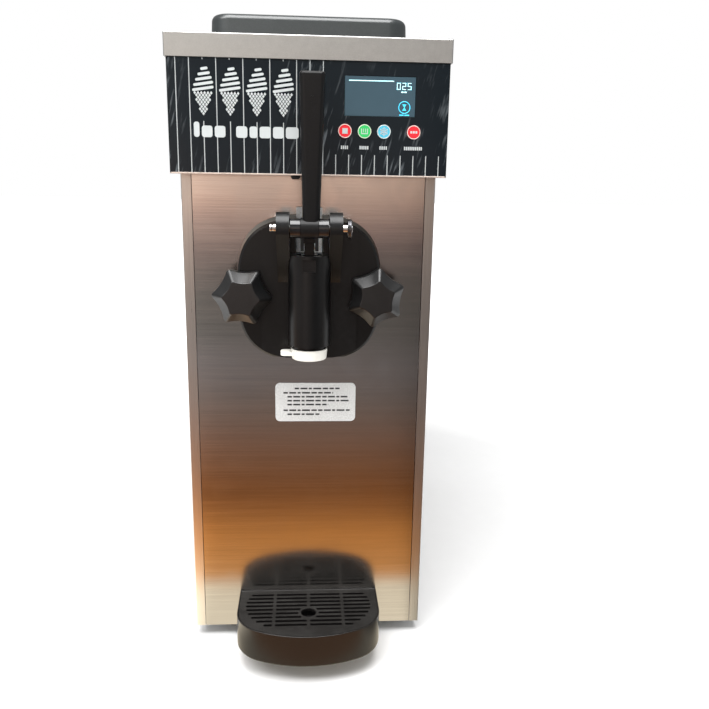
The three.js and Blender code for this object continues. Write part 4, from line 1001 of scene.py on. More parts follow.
def arc(centre: Flat, radius: float, start: float, end: float, count: int) -> list[Flat]:
    """Gives points along an arc, ends included, with angles in degrees."""
    turns = [math.radians(start + (end - start) * i / count) for i in range(count + 1)]
    return [(centre[0] + radius * math.cos(t), centre[1] + radius * math.sin(t)) for t in turns]


def rounded(low: Flat, high: Flat, radius: float, count: int = 8) -> list[Flat]:
    """Gives a rounded rectangle's outline, counter-clockwise."""
    (x0, y0), (x1, y1) = low, high
    left, right, front, back = x0 + radius, x1 - radius, y0 + radius, y1 - radius
    corners = ((right, front), (right, back), (left, back), (left, front))
    arcs = [arc(spot, radius, 90 * i - 90, 90 * i, count) for i, spot in enumerate(corners)]
    return [point for points in arcs for point in points]


# ------------------------------------------------------------------------------------------------- cabinet
@dataclass
class Cabinet(Assembly):
    """Sheet steel cabinet: panels with folded edges, top cover, base pan, feet and screws."""

    fold: float = 1.1 * MM
    lip_fold: float = 1.4 * MM
    hem: float = 0.35 * MM
    burr: float = 0.18 * MM
    screw_radius: float = 3.4 * MM
    screw_taper: float = 0.72
    screw_proud: float = 1.3 * MM
    side_margin: float = 30 * MM
    rear_margin: float = 9 * MM
    foot_taper: float = 0.86
    foot_rim: float = 4 * MM
    foot_groove: float = 1.2 * MM

    def build(self) -> None:
        """Builds panels, cover, pan, feet and screws."""
        self.refine("front_panel", STEEL, self.hem)
        self.refine("rear_panel", STEEL, self.hem)
        self.refine("base_pan", GALVANISED, self.hem)
        for side in ("left_side_panel", "right_side_panel"):
            self._side(side)
        self._cover()
        self._feet()
        self._screws()

    def _side(self, node: str) -> None:
        """Folds a side panel's upright corners."""
        piece = Bench.copy_node(node, node + "_shape")
        low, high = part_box(node)
        outer = max(low.x, high.x, key=abs)

        def corner(middle: Vector, run: Vector) -> bool:
            """Accepts the two upright outer corners."""
            at_y = min(abs(middle.y - low.y), abs(middle.y - high.y)) < TOUCHING
            return abs(run.z) > STRAIGHT and abs(middle.x - outer) < TOUCHING and at_y

        Bench.bevel(piece, corner, self.fold, 4)
        Bench.soften(piece, self.burr, 1)
        self.settle(piece, node, STEEL_SIDE, stands_for=True)

    def _cover(self) -> None:
        """Folds the top cover's lip and rounds its corners."""
        piece = Bench.copy_node("top_cover", "top_cover_shape")
        low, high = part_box("top_cover")

        def rim(middle: Vector, run: Vector) -> bool:
            """Accepts the outer top edges and the outer upright corners."""
            at_x = min(abs(middle.x - low.x), abs(middle.x - high.x)) < TOUCHING
            at_y = min(abs(middle.y - low.y), abs(middle.y - high.y)) < TOUCHING
            at_top = abs(middle.z - high.z) < TOUCHING
            return (at_top and (at_x or at_y)) or (abs(run.z) > STRAIGHT and at_x and at_y)

        Bench.bevel(piece, rim, self.lip_fold, 4)
        Bench.soften(piece, 0.2 * MM, 1)
        self.settle(piece, "top_cover", STEEL_TOP, stands_for=True)

    def _feet(self) -> None:
        """Models one rubber foot and copies it to the four corners."""
        nodes = ["foot_" + corner for corner in ("front_left", "front_right", "rear_left", "rear_right")]
        low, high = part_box(nodes[0])
        start = centre_of(nodes[0])
        radius = (high.x - low.x) / 2
        sole = radius * self.foot_taper
        first = Bench.rod(nodes[0] + "_shape", "z", (low.z, high.z), start[:2], sole, 48, radius)
        Bench.inset(first, looks("z", -1), self.foot_rim)
        Bench.inset(first, looks("z", -1), 0.8 * MM, -self.foot_groove)
        Bench.soften(first, 0.7 * MM, 3)
        self.settle(first, nodes[0], RUBBER, stands_for=True)
        for node in nodes[1:]:
            spot = centre_of(node)
            copy = Bench.again(first, node + "_shape", (spot[0] - start[0], spot[1] - start[1], 0))
            self.settle(copy, node, RUBBER, stands_for=True)

    def _screws(self) -> None:
        """Models one cross-head screw for each face and copies it along the panels."""
        low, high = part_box("right_side_panel")
        outer, edge = high.x, self.side_margin
        heights = (low.z + edge, low.z + 300 * MM, high.z - 50 * MM)
        sides = [(y, z) for y in (low.y + edge, high.y - edge) for z in heights]
        for mark, side in (("right", 1), ("left", -1)):
            ends = (outer, outer + self.screw_proud) if side > 0 else (-outer - self.screw_proud, -outer)
            first = self._screw("screw_" + mark, "x", ends, sides[0], side)
            moves = [(0, y - sides[0][0], z - sides[0][1]) for y, z in sides]
            self._row(first, "screw_" + mark, mark + "_side_panel", moves)
        low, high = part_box("rear_panel")
        heights = (low.z + 20 * MM, low.z + 290 * MM, high.z - 30 * MM)
        spots = [(x, z) for x in (low.x + self.rear_margin, high.x - self.rear_margin) for z in heights]
        first = self._screw("screw_rear", "y", (high.y, high.y + self.screw_proud), spots[0], 1)
        moves = [(x - spots[0][0], 0, z - spots[0][1]) for x, z in spots]
        self._row(first, "screw_rear", "rear_panel", moves)

    def _screw(self, name: str, axis: str, ends: Flat, centre: Flat, side: int) -> Object:
        """Models a pan-head screw with a cross recess, its head at the far end of its axis on that side."""
        tip = self.screw_radius * self.screw_taper
        wide = (self.screw_radius, tip) if side > 0 else (tip, self.screw_radius)
        screw = Bench.rod(name, axis, ends, centre, wide[0], 24, wide[1])
        Bench.soften(screw, 0.3 * MM, 2)
        face = ends[1] if side > 0 else ends[0]
        spot = {"x": (face, *centre), "y": (centre[0], face, centre[1])}[axis]
        for u, v in ((2.2, 0.45), (0.45, 2.2)):
            half = {"x": (0.7, u, v), "y": (u, 0.7, v)}[axis]
            corners = [[s + sign * h * MM for s, h in zip(spot, half)] for sign in (-1, 1)]
            Bench.cut(screw, Bench.block("cross", *corners))
        return screw

    def _row(self, first: Object, name: str, node: str, moves: Sequence[Point]) -> None:
        """Settles a screw and its copies."""
        for index, move in enumerate(moves[1:], 1):
            self.settle(Bench.again(first, f"{name}_{index}", move), node, CHROME)
        self.settle(first, node, CHROME)


# -------------------------------------------------------------------------------------------- control hood
@dataclass
class ControlHood(Assembly):
    """Hood with its printed fascia, backlit display, four keys and the sensor under it."""

    print_thick: float = 0.12 * MM
    print_sunk: float = 0.05 * MM
    cone_count: int = 4
    cone_pitch: float = 23.66
    cone_first: float = -94.5
    wafer_foot: float = 555.5
    cream_foot: float = 580.6
    bar_foot: float = 539.2
    digits: str = "025"
    digit_start: Flat = (78.2, 583.6)
    digit_pitch: float = 4.9
    figures_sunk: float = -0.3
    icon_middle: Flat = (85.4, 568.4)
    icon_radius: float = 5.1
    caption: Flat = (531.2, 534.2)

    def build(self) -> None:
        """Builds the shell, fascia, prints, display and keys."""
        self.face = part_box("fascia_panel")[0].y
        self.refine("hood_shell", STEEL_SIDE, 0.3 * MM)
        self.refine("fascia_panel", FASCIA, 0.3 * MM)
        self._film_edge()
        self._cones()
        self._word_bars()
        self._display()
        self._keys()
        self.refine("draw_sensor", RUBBER, 0.3 * MM)
        self.dress(BOARD, "control_board")

    def _mark(self, name: str, shapes: list[Object], finish: Finish, node: str = "fascia_panel") -> Object:
        """Gathers thin printed shapes into one piece."""
        return self.settle(Bench.gather(name, shapes), node, finish)

    def _bar(
        self, x0: float, z0: float, x1: float, z1: float, lift: float = 0.0, round_off: float = 0.0
    ) -> Object:
        """Adds a thin upright plate on the fascia's face, in millimetres."""
        y = self.face - lift * MM
        corner = (x1 * MM, y + self.print_sunk, z1 * MM)
        plate = Bench.block("bar", (x0 * MM, y - self.print_thick, z0 * MM), corner)
        if round_off:
            Bench.bevel(plate, runs("y"), round_off * MM, 4)
        return plate

    def _film_edge(self) -> None:
        """A pale strip along the fascia's foot: painted highlight on the foil's cut edge."""
        low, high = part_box("fascia_panel")
        front, back = self.face - 0.25 * MM, self.face + 0.4 * MM
        foot, top = low.z - 0.1 * MM, low.z + 1.0 * MM
        strip = Bench.block("film_edge", (low.x + 1.0 * MM, front, foot), (high.x - 1.0 * MM, back, top))
        Bench.soften(strip, 0.1 * MM, 1)
        self.settle(strip, "fascia_panel", FILM_EDGE_HIGHLIGHT)

    def _cones(self) -> None:
        """A plain row of upright cones: a latticed wafer and leaning swirl bands each."""
        shapes: list[Object] = []
        for index in range(self.cone_count):
            middle = self.cone_first + index * self.cone_pitch
            shapes += self._wafer(middle, self.wafer_foot)
            shapes += self._swirl(middle, self.cream_foot)
        self._mark("print_cones", shapes, PRINT)

    def _wafer(self, middle: float, foot: float) -> list[Object]:
        """Gives one cone's wafer: diamonds between crossing lines, inside a narrow triangle."""
        shapes = []
        rows, across, up, half, slope, tip = 11, 2.9, 1.95, 0.81, 0.37, 0.25
        for row in range(1, rows + 1):
            z = foot + row * up
            for place in range(-4, 5):
                x = (place + (row % 2) / 2) * across
                if abs(x) > slope * (z - foot) + tip:
                    continue
                plate = self._bar(middle + x - half, z - half, middle + x + half, z + half)
                self._turn(plate, middle + x, z, 45)
                Bench.resize(plate, Part.VERT, anything, (1.0, 1.0, 1.3), (0, 0, z * MM))
                shapes.append(plate)
        return shapes

    def _swirl(self, middle: float, foot: float) -> list[Object]:
        """Gives one cone's cream: rounded bands that lean and narrow to a tip."""
        shapes = []
        lean, drift, pitch, half = 9, 0.35, 4.2, 1.15
        for index, wide in enumerate((19.0, 17.6, 14.6, 10.8, 6.4)):
            x, z = middle + drift * index, foot + index * pitch
            band = self._bar(x - wide / 2, z - half, x + wide / 2, z + half, round_off=1.1)
            self._turn(band, x, z, lean)
            shapes.append(band)
        return shapes

    def _turn(self, plate: Object, x: float, z: float, angle: float) -> None:
        """Turns a printed shape about its middle, in millimetres and degrees."""
        Bench.spin(plate, math.radians(angle), "Y", (x * MM, self.face, z * MM))

    def _word_bars(self) -> None:
        """Plain rounded bars where a word would stand."""
        starts = (-103.5, -96.5, -85, -66, -54, -45, -33, -21.5)
        widths = (5, 9.5, 9.5, 10, 7, 10, 9.5, 11.5)
        foot, tall, first_tall = self.bar_foot, 10.0, 13.2
        shapes = []
        for index, (x, wide) in enumerate(zip(starts, widths)):
            top = foot + (tall if index else first_tall)
            shapes.append(self._bar(x, foot, x + wide, top, round_off=2.2))
        self._mark("print_word_bars", shapes, PRINT)

    def _display(self) -> None:
        """Backlit window in a thin bezel, with a line, digits, an icon and small bars."""
        pane = Bench.copy_node("display_module", "display_module_shape")
        Bench.inset(pane, looks("y", -1), 0.4 * MM, -0.1 * MM)
        Bench.soften(pane, 0.12 * MM, 1)
        self.settle(pane, "display_module", GLASS, stands_for=True)
        sunk = self.figures_sunk
        shapes = [self._bar(35.0, 590.3, 75.5, 591.0, sunk)]
        for index, figure in enumerate(self.digits):
            shapes += self._digit(self.digit_start[0] + index * self.digit_pitch, self.digit_start[1], figure)
        shapes += [self._bar(x0, 581.0, x1, 582.0, sunk) for x0, x1 in ((82.3, 84.4), (84.9, 87.2))]
        self._mark("display_figures", shapes, LCD, "display_module")
        x, z = self.icon_middle
        centre = (x * MM, self.face + 0.1 * MM, z * MM)
        parts = [Bench.ring("icon", "y", centre, self.icon_radius * MM, 0.38 * MM, 40, 8)]
        narrow, wide, tall = 0.2 * MM, 1.9 * MM, 2.7
        for ends, start, end in (((z, z + tall), narrow, wide), ((z - tall, z), wide, narrow)):
            flask = Bench.rod("icon", "z", (ends[0] * MM, ends[1] * MM), centre[:2], start, 4, end)
            Bench.resize(flask, Part.VERT, anything, (1, 0.1, 1), centre)
            parts.append(flask)
        parts += [self._bar(x0, 561.3, x1, 562.3, sunk) for x0, x1 in ((81.0, 85.0), (85.6, 90.0))]
        self._mark("display_icon", parts, LCD_BLUE, "display_module")

    def _digit(self, x: float, z: float, figure: str) -> list[Object]:
        """Gives a seven-segment figure's bars, its lower left corner at x and z."""
        wide, tall, thick = 3.3, 5.8, 0.5
        spots = {
            "a": (0, tall - thick, wide, tall),
            "g": (0, (tall - thick) / 2, wide, (tall + thick) / 2),
            "d": (0, 0, wide, thick),
            "f": (0, tall / 2, thick, tall),
            "b": (wide - thick, tall / 2, wide, tall),
            "e": (0, 0, thick, tall / 2),
            "c": (wide - thick, 0, wide, tall / 2),
        }
        lit = {"0": "abcdef", "2": "abged", "5": "afgcd"}[figure]
        boxes = [spots[segment] for segment in lit]
        return [self._bar(x + u0, z + v0, x + u1, z + v1, self.figures_sunk) for u0, v0, u1, v1 in boxes]

    def _keys(self) -> None:
        """Round keys: flat cap with a softened edge, pale ring, icon and caption bars below each."""
        finishes = {"stop_key": RED, "clean_key": GREEN, "cold_key": BLUE, "set_key": RED}
        for (node, finish), wide in zip(finishes.items(), (7.0, 8.6, 7.6, 17.0)):
            low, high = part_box(node)
            x, _, z = centre_of(node)
            radius = (high.x - low.x) / 2
            cap = Bench.rod(node + "_shape", "y", (low.y, high.y), (x, z), radius, 64)
            Bench.inset(cap, looks("y", -1), 0.7 * MM, 0.0)
            Bench.soften(cap, 0.18 * MM, 2)
            self.settle(cap, node, finish, stands_for=True)
            spot = (x, low.y + 0.05 * MM, z)
            rim = Bench.ring(node + "_rim", "y", spot, radius - 0.42 * MM, 0.32 * MM, 64, 8)
            self.settle(rim, node, KEY_RING)
            self._icon(node, x / MM, z / MM, low.y)
            self._caption(node, x / MM, wide)

    def _caption(self, node: str, x: float, wide: float) -> None:
        """Rows short bars under a key, in millimetres."""
        count = round(wide / 1.75)
        foot, top = self.caption
        starts = [x - wide / 2 + index * wide / count for index in range(count)]
        self._mark(node + "_caption", [self._bar(start, foot, start + 1.15, top) for start in starts], PRINT)

    def _icon(self, node: str, x: float, z: float, face: float) -> None:
        """Gives a key its icon: a square, an open box, a snow crystal or three short bars."""
        lift = (self.face - face) / MM - 0.02
        spans = {
            "stop_key": ((-2.4, -2.4, 2.4, 2.4),),
            "clean_key": (
                (-3, -2.4, -2.3, 2.4),
                (2.3, -2.4, 3, 2.4),
                (-2.3, -2.4, 2.3, -1.7),
                (-1.2, -1, -0.7, 2.4),
                (0.7, -1, 1.2, 2.4),
            ),
            "cold_key": (),
            "set_key": tuple((a, -1, a + 1.7, 1) for a in (-3.2, -0.85, 1.5)),
        }[node]
        shapes = [self._bar(x + a, z + b, x + c, z + d, lift) for a, b, c, d in spans]
        if node == "cold_key":
            shapes = [self._crystal_arm(x, z, face, lift, turn) for turn in (0, 60, 120)]
        self._mark(node + "_icon", shapes, PRINT, node)

    def _crystal_arm(self, x: float, z: float, face: float, lift: float, turn: float) -> Object:
        """Gives one arm of the snow crystal, with a short bar across each end, turned in degrees."""
        arm = self._bar(x - 0.35, z - 4, x + 0.35, z + 4, lift)
        tips = [self._bar(x - 1.3, z + s - 0.3, x + 1.3, z + s + 0.3, lift) for s in (-2.6, 2.6)]
        branch = Bench.gather("arm", [arm, *tips])
        Bench.spin(branch, math.radians(turn), "Y", (x * MM, face, z * MM))
        return branch


# -------------------------------------------------------------------------------------------------- hopper
@dataclass
class Hopper(Assembly):
    """Mix hopper, its lid and the air tube."""

    lid_corner: float = 20 * MM
    lid_round: float = 6.0 * MM
    lid_taper: float = 0.985
    lid_wall: float = 2.6 * MM
    lid_top: float = 8 * MM

    def build(self) -> None:
        """Builds the tank, lid and tube."""
        self.refine("hopper", TANK, 0.4 * MM)
        self.refine("air_tube", MILKY, 0.3 * MM)
        self._lid()

    def _lid(self) -> None:
        """Moulds the lid: rounded and drafted, hollow below, with a shallow sunk field on top."""
        low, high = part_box("hopper_lid")
        x, y, _ = centre_of("hopper_lid")
        outline = rounded((low.x, low.y), (high.x, high.y), self.lid_corner, 10)
        lid = Bench.outline("hopper_lid_shape", outline, low.z, high.z)

        def in_middle(side: int, least: float) -> Test:
            """Makes a test for the face over the lid's middle that looks up or down."""
            near = 5 * MM
            return lambda c, n: side * n.z > least and abs(c.x - x) < near and abs(c.y - y) < near

        Bench.resize(lid, Part.FACE, looks("z", 1), (self.lid_taper, self.lid_taper, 1), (x, y, high.z))
        Bench.bevel(lid, level(high.z), self.lid_round, 6)
        Bench.inset(lid, in_middle(1, FLAT), 7 * MM, 0.0)
        Bench.inset(lid, in_middle(1, FLAT), 1.0 * MM, -0.8 * MM)
        Bench.inset(lid, looks("z", -1), self.lid_wall, 0.0)
        depth = high.z - low.z - self.lid_top
        Bench.extrude(lid, in_middle(-1, FACING), [((0, 0, depth), self.lid_taper)], (x, y, high.z))
        Bench.soften(lid, 0.35 * MM, 2)
        self.settle(lid, "hopper_lid", LID_SLATE_AND_REFLECTION, stands_for=True)


# ----------------------------------------------------------------------------------------- dispensing head
@dataclass
class DispensingHead(Assembly):
    """Draw door with its valve body and arms, lever, pivot pin, plunger, star knobs, nozzle cap and studs."""

    knob_tip: float = 29.6 * MM
    knob_valley: float = 0.755
    knob_points: int = 6
    star_thick: float = 10 * MM
    star_back: float = 8 * MM
    stud_hole: float = 4.2 * MM
    handle_lean: float = math.radians(4)
    handle_tilt: float = math.radians(-0.35)
    handle_shift: float = 1.4 * MM
    handle_round: float = 4.2 * MM
    handle_half_top: float = 11.4 * MM
    handle_half_root: float = 7.75 * MM
    handle_thick: float = 7.0 * MM
    finger_inner: float = 5.2 * MM
    finger_outer: float = 8.2 * MM
    pin_short: float = 1.9 * MM
    ring_inset: float = 4.6 * MM
    tab_half: float = 6 * MM
    knob_turns: dict[str, float] = field(default_factory=lambda: {"left_knob": -4.0, "right_knob": 23.0})

    def build(self) -> None:
        """Builds the head from the door outwards."""
        self.stud_z = centre_of("left_stud")[2]
        self.pivot = Vector((0, *centre_of("pivot_pin")[1:]))
        self.refine("draw_door", HEAD_BLACK, 0.5 * MM)
        self.refine("notch_plate", WHITE_PLATE, 0.3 * MM)
        self.refine("draw_plunger", HEAD_BLACK, 0.4 * MM)
        self._handle()
        self._pin()
        for node in ("left_knob", "right_knob"):
            self._knob(node)
        for node in ("left_stud", "right_stud"):
            self._stud(node)
        self._cap()
        self.dress(RUBBER, "plunger_ring_lower", "plunger_ring_upper", "door_gasket")

    def _knob(self, node: str) -> None:
        """Models a six-point star knob: a star prism drawn in to a small front face, with a round neck."""
        stud = node.replace("knob", "stud")
        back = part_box(node)[1].y
        x, z = centre_of(stud)[0], self.stud_z
        centre = (x, 0.0, z)
        star_back = back - self.star_back
        Bench.hold()
        bpy.ops.mesh.primitive_cylinder_add(
            vertices=2 * self.knob_points,
            radius=self.knob_tip,
            depth=self.star_thick,
            location=(x, star_back - 7 * MM, z),
            rotation=(math.pi / 2, 0, 0),
        )
        knob = Bench.take(node + "_shape")

        def at_valley(c: Vector, direction: Vector) -> bool:
            """Accepts every second corner."""
            corner = (math.degrees(math.atan2(c.z - z, c.x - x)) % 360) * self.knob_points / 180
            return round(corner) % 2 == 1

        def valley_edge(c: Vector, run: Vector) -> bool:
            """Accepts the star's inner upright edges."""
            return abs(run.y) > STRAIGHT and at_valley(c, run)

        def tip_edge(c: Vector, run: Vector) -> bool:
            """Accepts the star's outer upright edges."""
            return abs(run.y) > STRAIGHT and math.hypot(c.x - x, c.z - z) > 0.9 * self.knob_tip

        Bench.resize(knob, Part.VERT, at_valley, (self.knob_valley, 1, self.knob_valley), centre)
        Bench.bevel(knob, valley_edge, 7.5 * MM, 7)
        Bench.bevel(knob, tip_edge, 3.0 * MM, 5)
        for side, move, share in ((-1, -8.6, 0.69), (-1, -2.2, 0.9), (1, 2.0, 0.85)):
            self._draw_in(knob, side, (0, move * MM, 0), share, centre)
        Bench.spin(knob, math.radians(self.knob_turns[node]), "Y", centre)
        neck = Bench.rod("neck", "y", (star_back - 3 * MM, back), (x, z), 10.6 * MM, 48, 11 * MM)
        Bench.unite(knob, neck)
        hole_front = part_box(stud)[0].y - 0.5 * MM
        Bench.cut(knob, Bench.rod("hole", "y", (hole_front, back + 10 * MM), (x, z), self.stud_hole, 32))
        Bench.soften(knob, 0.55 * MM, 3, 24)
        self.settle(knob, node, KNOB_BLACK, stands_for=True)

    def _draw_in(self, knob: Object, side: int, move: Point, share: float, centre: Point) -> None:
        """Extrudes a knob's front or back face and draws it in towards the stud."""
        with Bench.editing(knob, Part.FACE):
            faces = bmesh.from_edit_mesh(knob.data).faces
            far = min(side * -f.calc_center_median().y for f in faces if side * f.normal.y > FACING)
            looking = looks("y", side)
            Bench.pick(knob, Part.FACE, lambda c, n: looking(c, n) and abs(side * -c.y - far) < TOUCHING)
            bpy.ops.mesh.extrude_region_move(TRANSFORM_OT_translate={"value": move})
            bpy.ops.transform.resize(value=(share, 1, share), center_override=Vector(centre))

    def _stud(self, node: str) -> None:
        """Models a stud as a plain rod with a softened end."""
        low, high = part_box(node)
        x, _, z = centre_of(node)
        stud = Bench.rod(node + "_shape", "y", (low.y, high.y), (x, z), (high.x - low.x) / 2 - 0.05 * MM, 32)
        Bench.soften(stud, 0.6 * MM, 2)
        self.settle(stud, node, CHROME, stands_for=True)

    def _handle(self) -> None:
        """Models the lever: a drafted bar that widens to its top, on a hub with two lifting fingers."""
        node = "draw_handle"
        _, py, pz = self.pivot
        length = (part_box(node)[1].z - pz) / math.cos(self.handle_lean) - 0.4 * MM
        root, thick = self.handle_half_root, self.handle_thick
        corner = (root, py + thick, pz + length)
        blade = Bench.block(node + "_shape", (-root, py - thick, pz + 6 * MM), corner)
        share = self.handle_half_top / root
        Bench.resize(blade, Part.VERT, lambda c, n: c.z > pz + 80 * MM, (share, 1, 1), (0, py, pz))
        Bench.bevel(blade, lambda c, run: abs(run.z) > FACING, self.handle_round, 5)
        Bench.bevel(blade, lambda c, run: abs(c.z - pz - length + TOUCHING) < 2 * TOUCHING, 2.6 * MM, 4)
        front = (py - thick - 0.35 * MM, py - thick + 1 * MM)
        half, foot = 1.6 * MM, pz + 113.5 * MM
        mark = Bench.block("mark", (-half, front[0], foot), (half, front[1], foot + 0.8 * MM))
        dot = Bench.rod("dot", "y", front, (0, pz + 108 * MM), 1.5 * MM, 20)
        for detail in (mark, dot):
            Bench.unite(blade, detail)
        with Bench.editing(blade, Part.FACE):
            bpy.ops.mesh.select_all(action="SELECT")
            bpy.ops.transform.rotate(value=-self.handle_lean, orient_axis="X", center_override=self.pivot)
            bpy.ops.transform.translate(value=(self.handle_shift, 0, 0))
            bpy.ops.transform.rotate(value=self.handle_tilt, orient_axis="Y", center_override=self.pivot)
        hub = Bench.rod("hub", "x", (-self.finger_outer, self.finger_outer), (py, pz), 9.6 * MM, 64)
        Bench.unite(blade, hub)
        Bench.unite(blade, *[self._finger(side) for side in (-1, 1)])
        Bench.soften(blade, 0.35 * MM, 2)
        self.settle(blade, node, BLACK, stands_for=True)
        for side, name in ((-1, "handle_hub_left"), (1, "handle_hub_right")):
            ends = tuple(sorted((side * 8.1 * MM, side * 18.0 * MM)))
            cheek = Bench.rod(name, "x", ends, (py, pz), 8.9 * MM, 64)
            Bench.soften(cheek, 0.6 * MM, 3)
            self.settle(cheek, node, HUB_GLOSS)

    def _finger(self, side: int) -> Object:
        """Models one lifting finger: a leg below the pivot and a reach behind it, on one side."""
        _, py, pz = self.pivot
        x0, x1 = sorted((side * self.finger_inner, side * self.finger_outer))
        front, foot = py - 5 * MM, pz - 20.3 * MM
        leg = Bench.block("leg", (x0, front, foot), (x1, py + 4 * MM, pz))
        reach = Bench.block("reach", (x0, front, foot), (x1, py + 22 * MM, pz - 14.8 * MM))
        Bench.unite(leg, reach)
        Bench.bevel(leg, lambda c, run: abs(run.x) > STRAIGHT and c.y > py + 20 * MM, 2.2 * MM, 4)
        return leg

    def _pin(self) -> None:
        """Models the pin with its grooved end, and the ring that draws it out."""
        low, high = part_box("pivot_pin")
        y, z = centre_of("pivot_pin")[1:]
        ring_x = high.x - self.ring_inset
        pin = Bench.rod("pivot_pin_shape", "x", (low.x, high.x - self.pin_short), (y, z), 3.7 * MM, 40)
        Bench.soften(pin, 0.6 * MM, 3)
        Bench.cut(pin, Bench.ring("groove", "x", (low.x + 2.6 * MM, y, z), 4.1 * MM, 0.9 * MM, 40, 10))
        Bench.cut(pin, Bench.rod("hole", "z", (z - 5 * MM, z + 5 * MM), (ring_x, y), 1.3 * MM, 20))
        Bench.soften(pin, 0.0)
        self.settle(pin, "pivot_pin", CHROME, stands_for=True)
        coils = []
        for side in (-1, 1):
            spot = (ring_x + side * 0.85 * MM, y, high.z - 9.6 * MM)
            coils.append(Bench.ring("coil", "x", spot, 8.1 * MM, 0.95 * MM, 56, 12))
        self.settle(Bench.gather("pivot_pin_ring", coils), "pivot_pin", DARK_CHROME)

    def _cap(self) -> None:
        """Models the white nozzle cap: a rimmed cup with a pull tab."""
        low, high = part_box("nozzle_cap")
        radius = high.x
        y = centre_of("nozzle_cap")[1]
        cup = Bench.rod("nozzle_cap_shape", "z", (low.z, high.z), (0.0, y), radius - 0.9 * MM, 72, radius)

        def floor(c: Vector, n: Vector) -> bool:
            """Accepts the round face in the middle of the top."""
            return n.z > FACING and math.hypot(c.x, c.y - y) < 2 * MM

        Bench.bevel(cup, level(low.z), 1.6 * MM, 4)
        Bench.inset(cup, looks("z", 1), 1.7 * MM, 0.0)
        Bench.extrude(cup, floor, [((0, 0, -8.7 * MM), 1.0)], (0, 0, 0))
        half, foot = self.tab_half, low.z + 3.5 * MM
        tab = Bench.block("tab", (low.x, y - half, foot), (-radius + 2.5 * MM, y + half, foot + 4 * MM))
        Bench.bevel(tab, lambda c, run: abs(run.z) > STRAIGHT and c.x < low.x + 1 * MM, 4.5 * MM, 5)
        Bench.unite(cup, tab)
        Bench.soften(cup, 0.5 * MM, 3)
        self.settle(cup, "nozzle_cap", MILKY, stands_for=True)


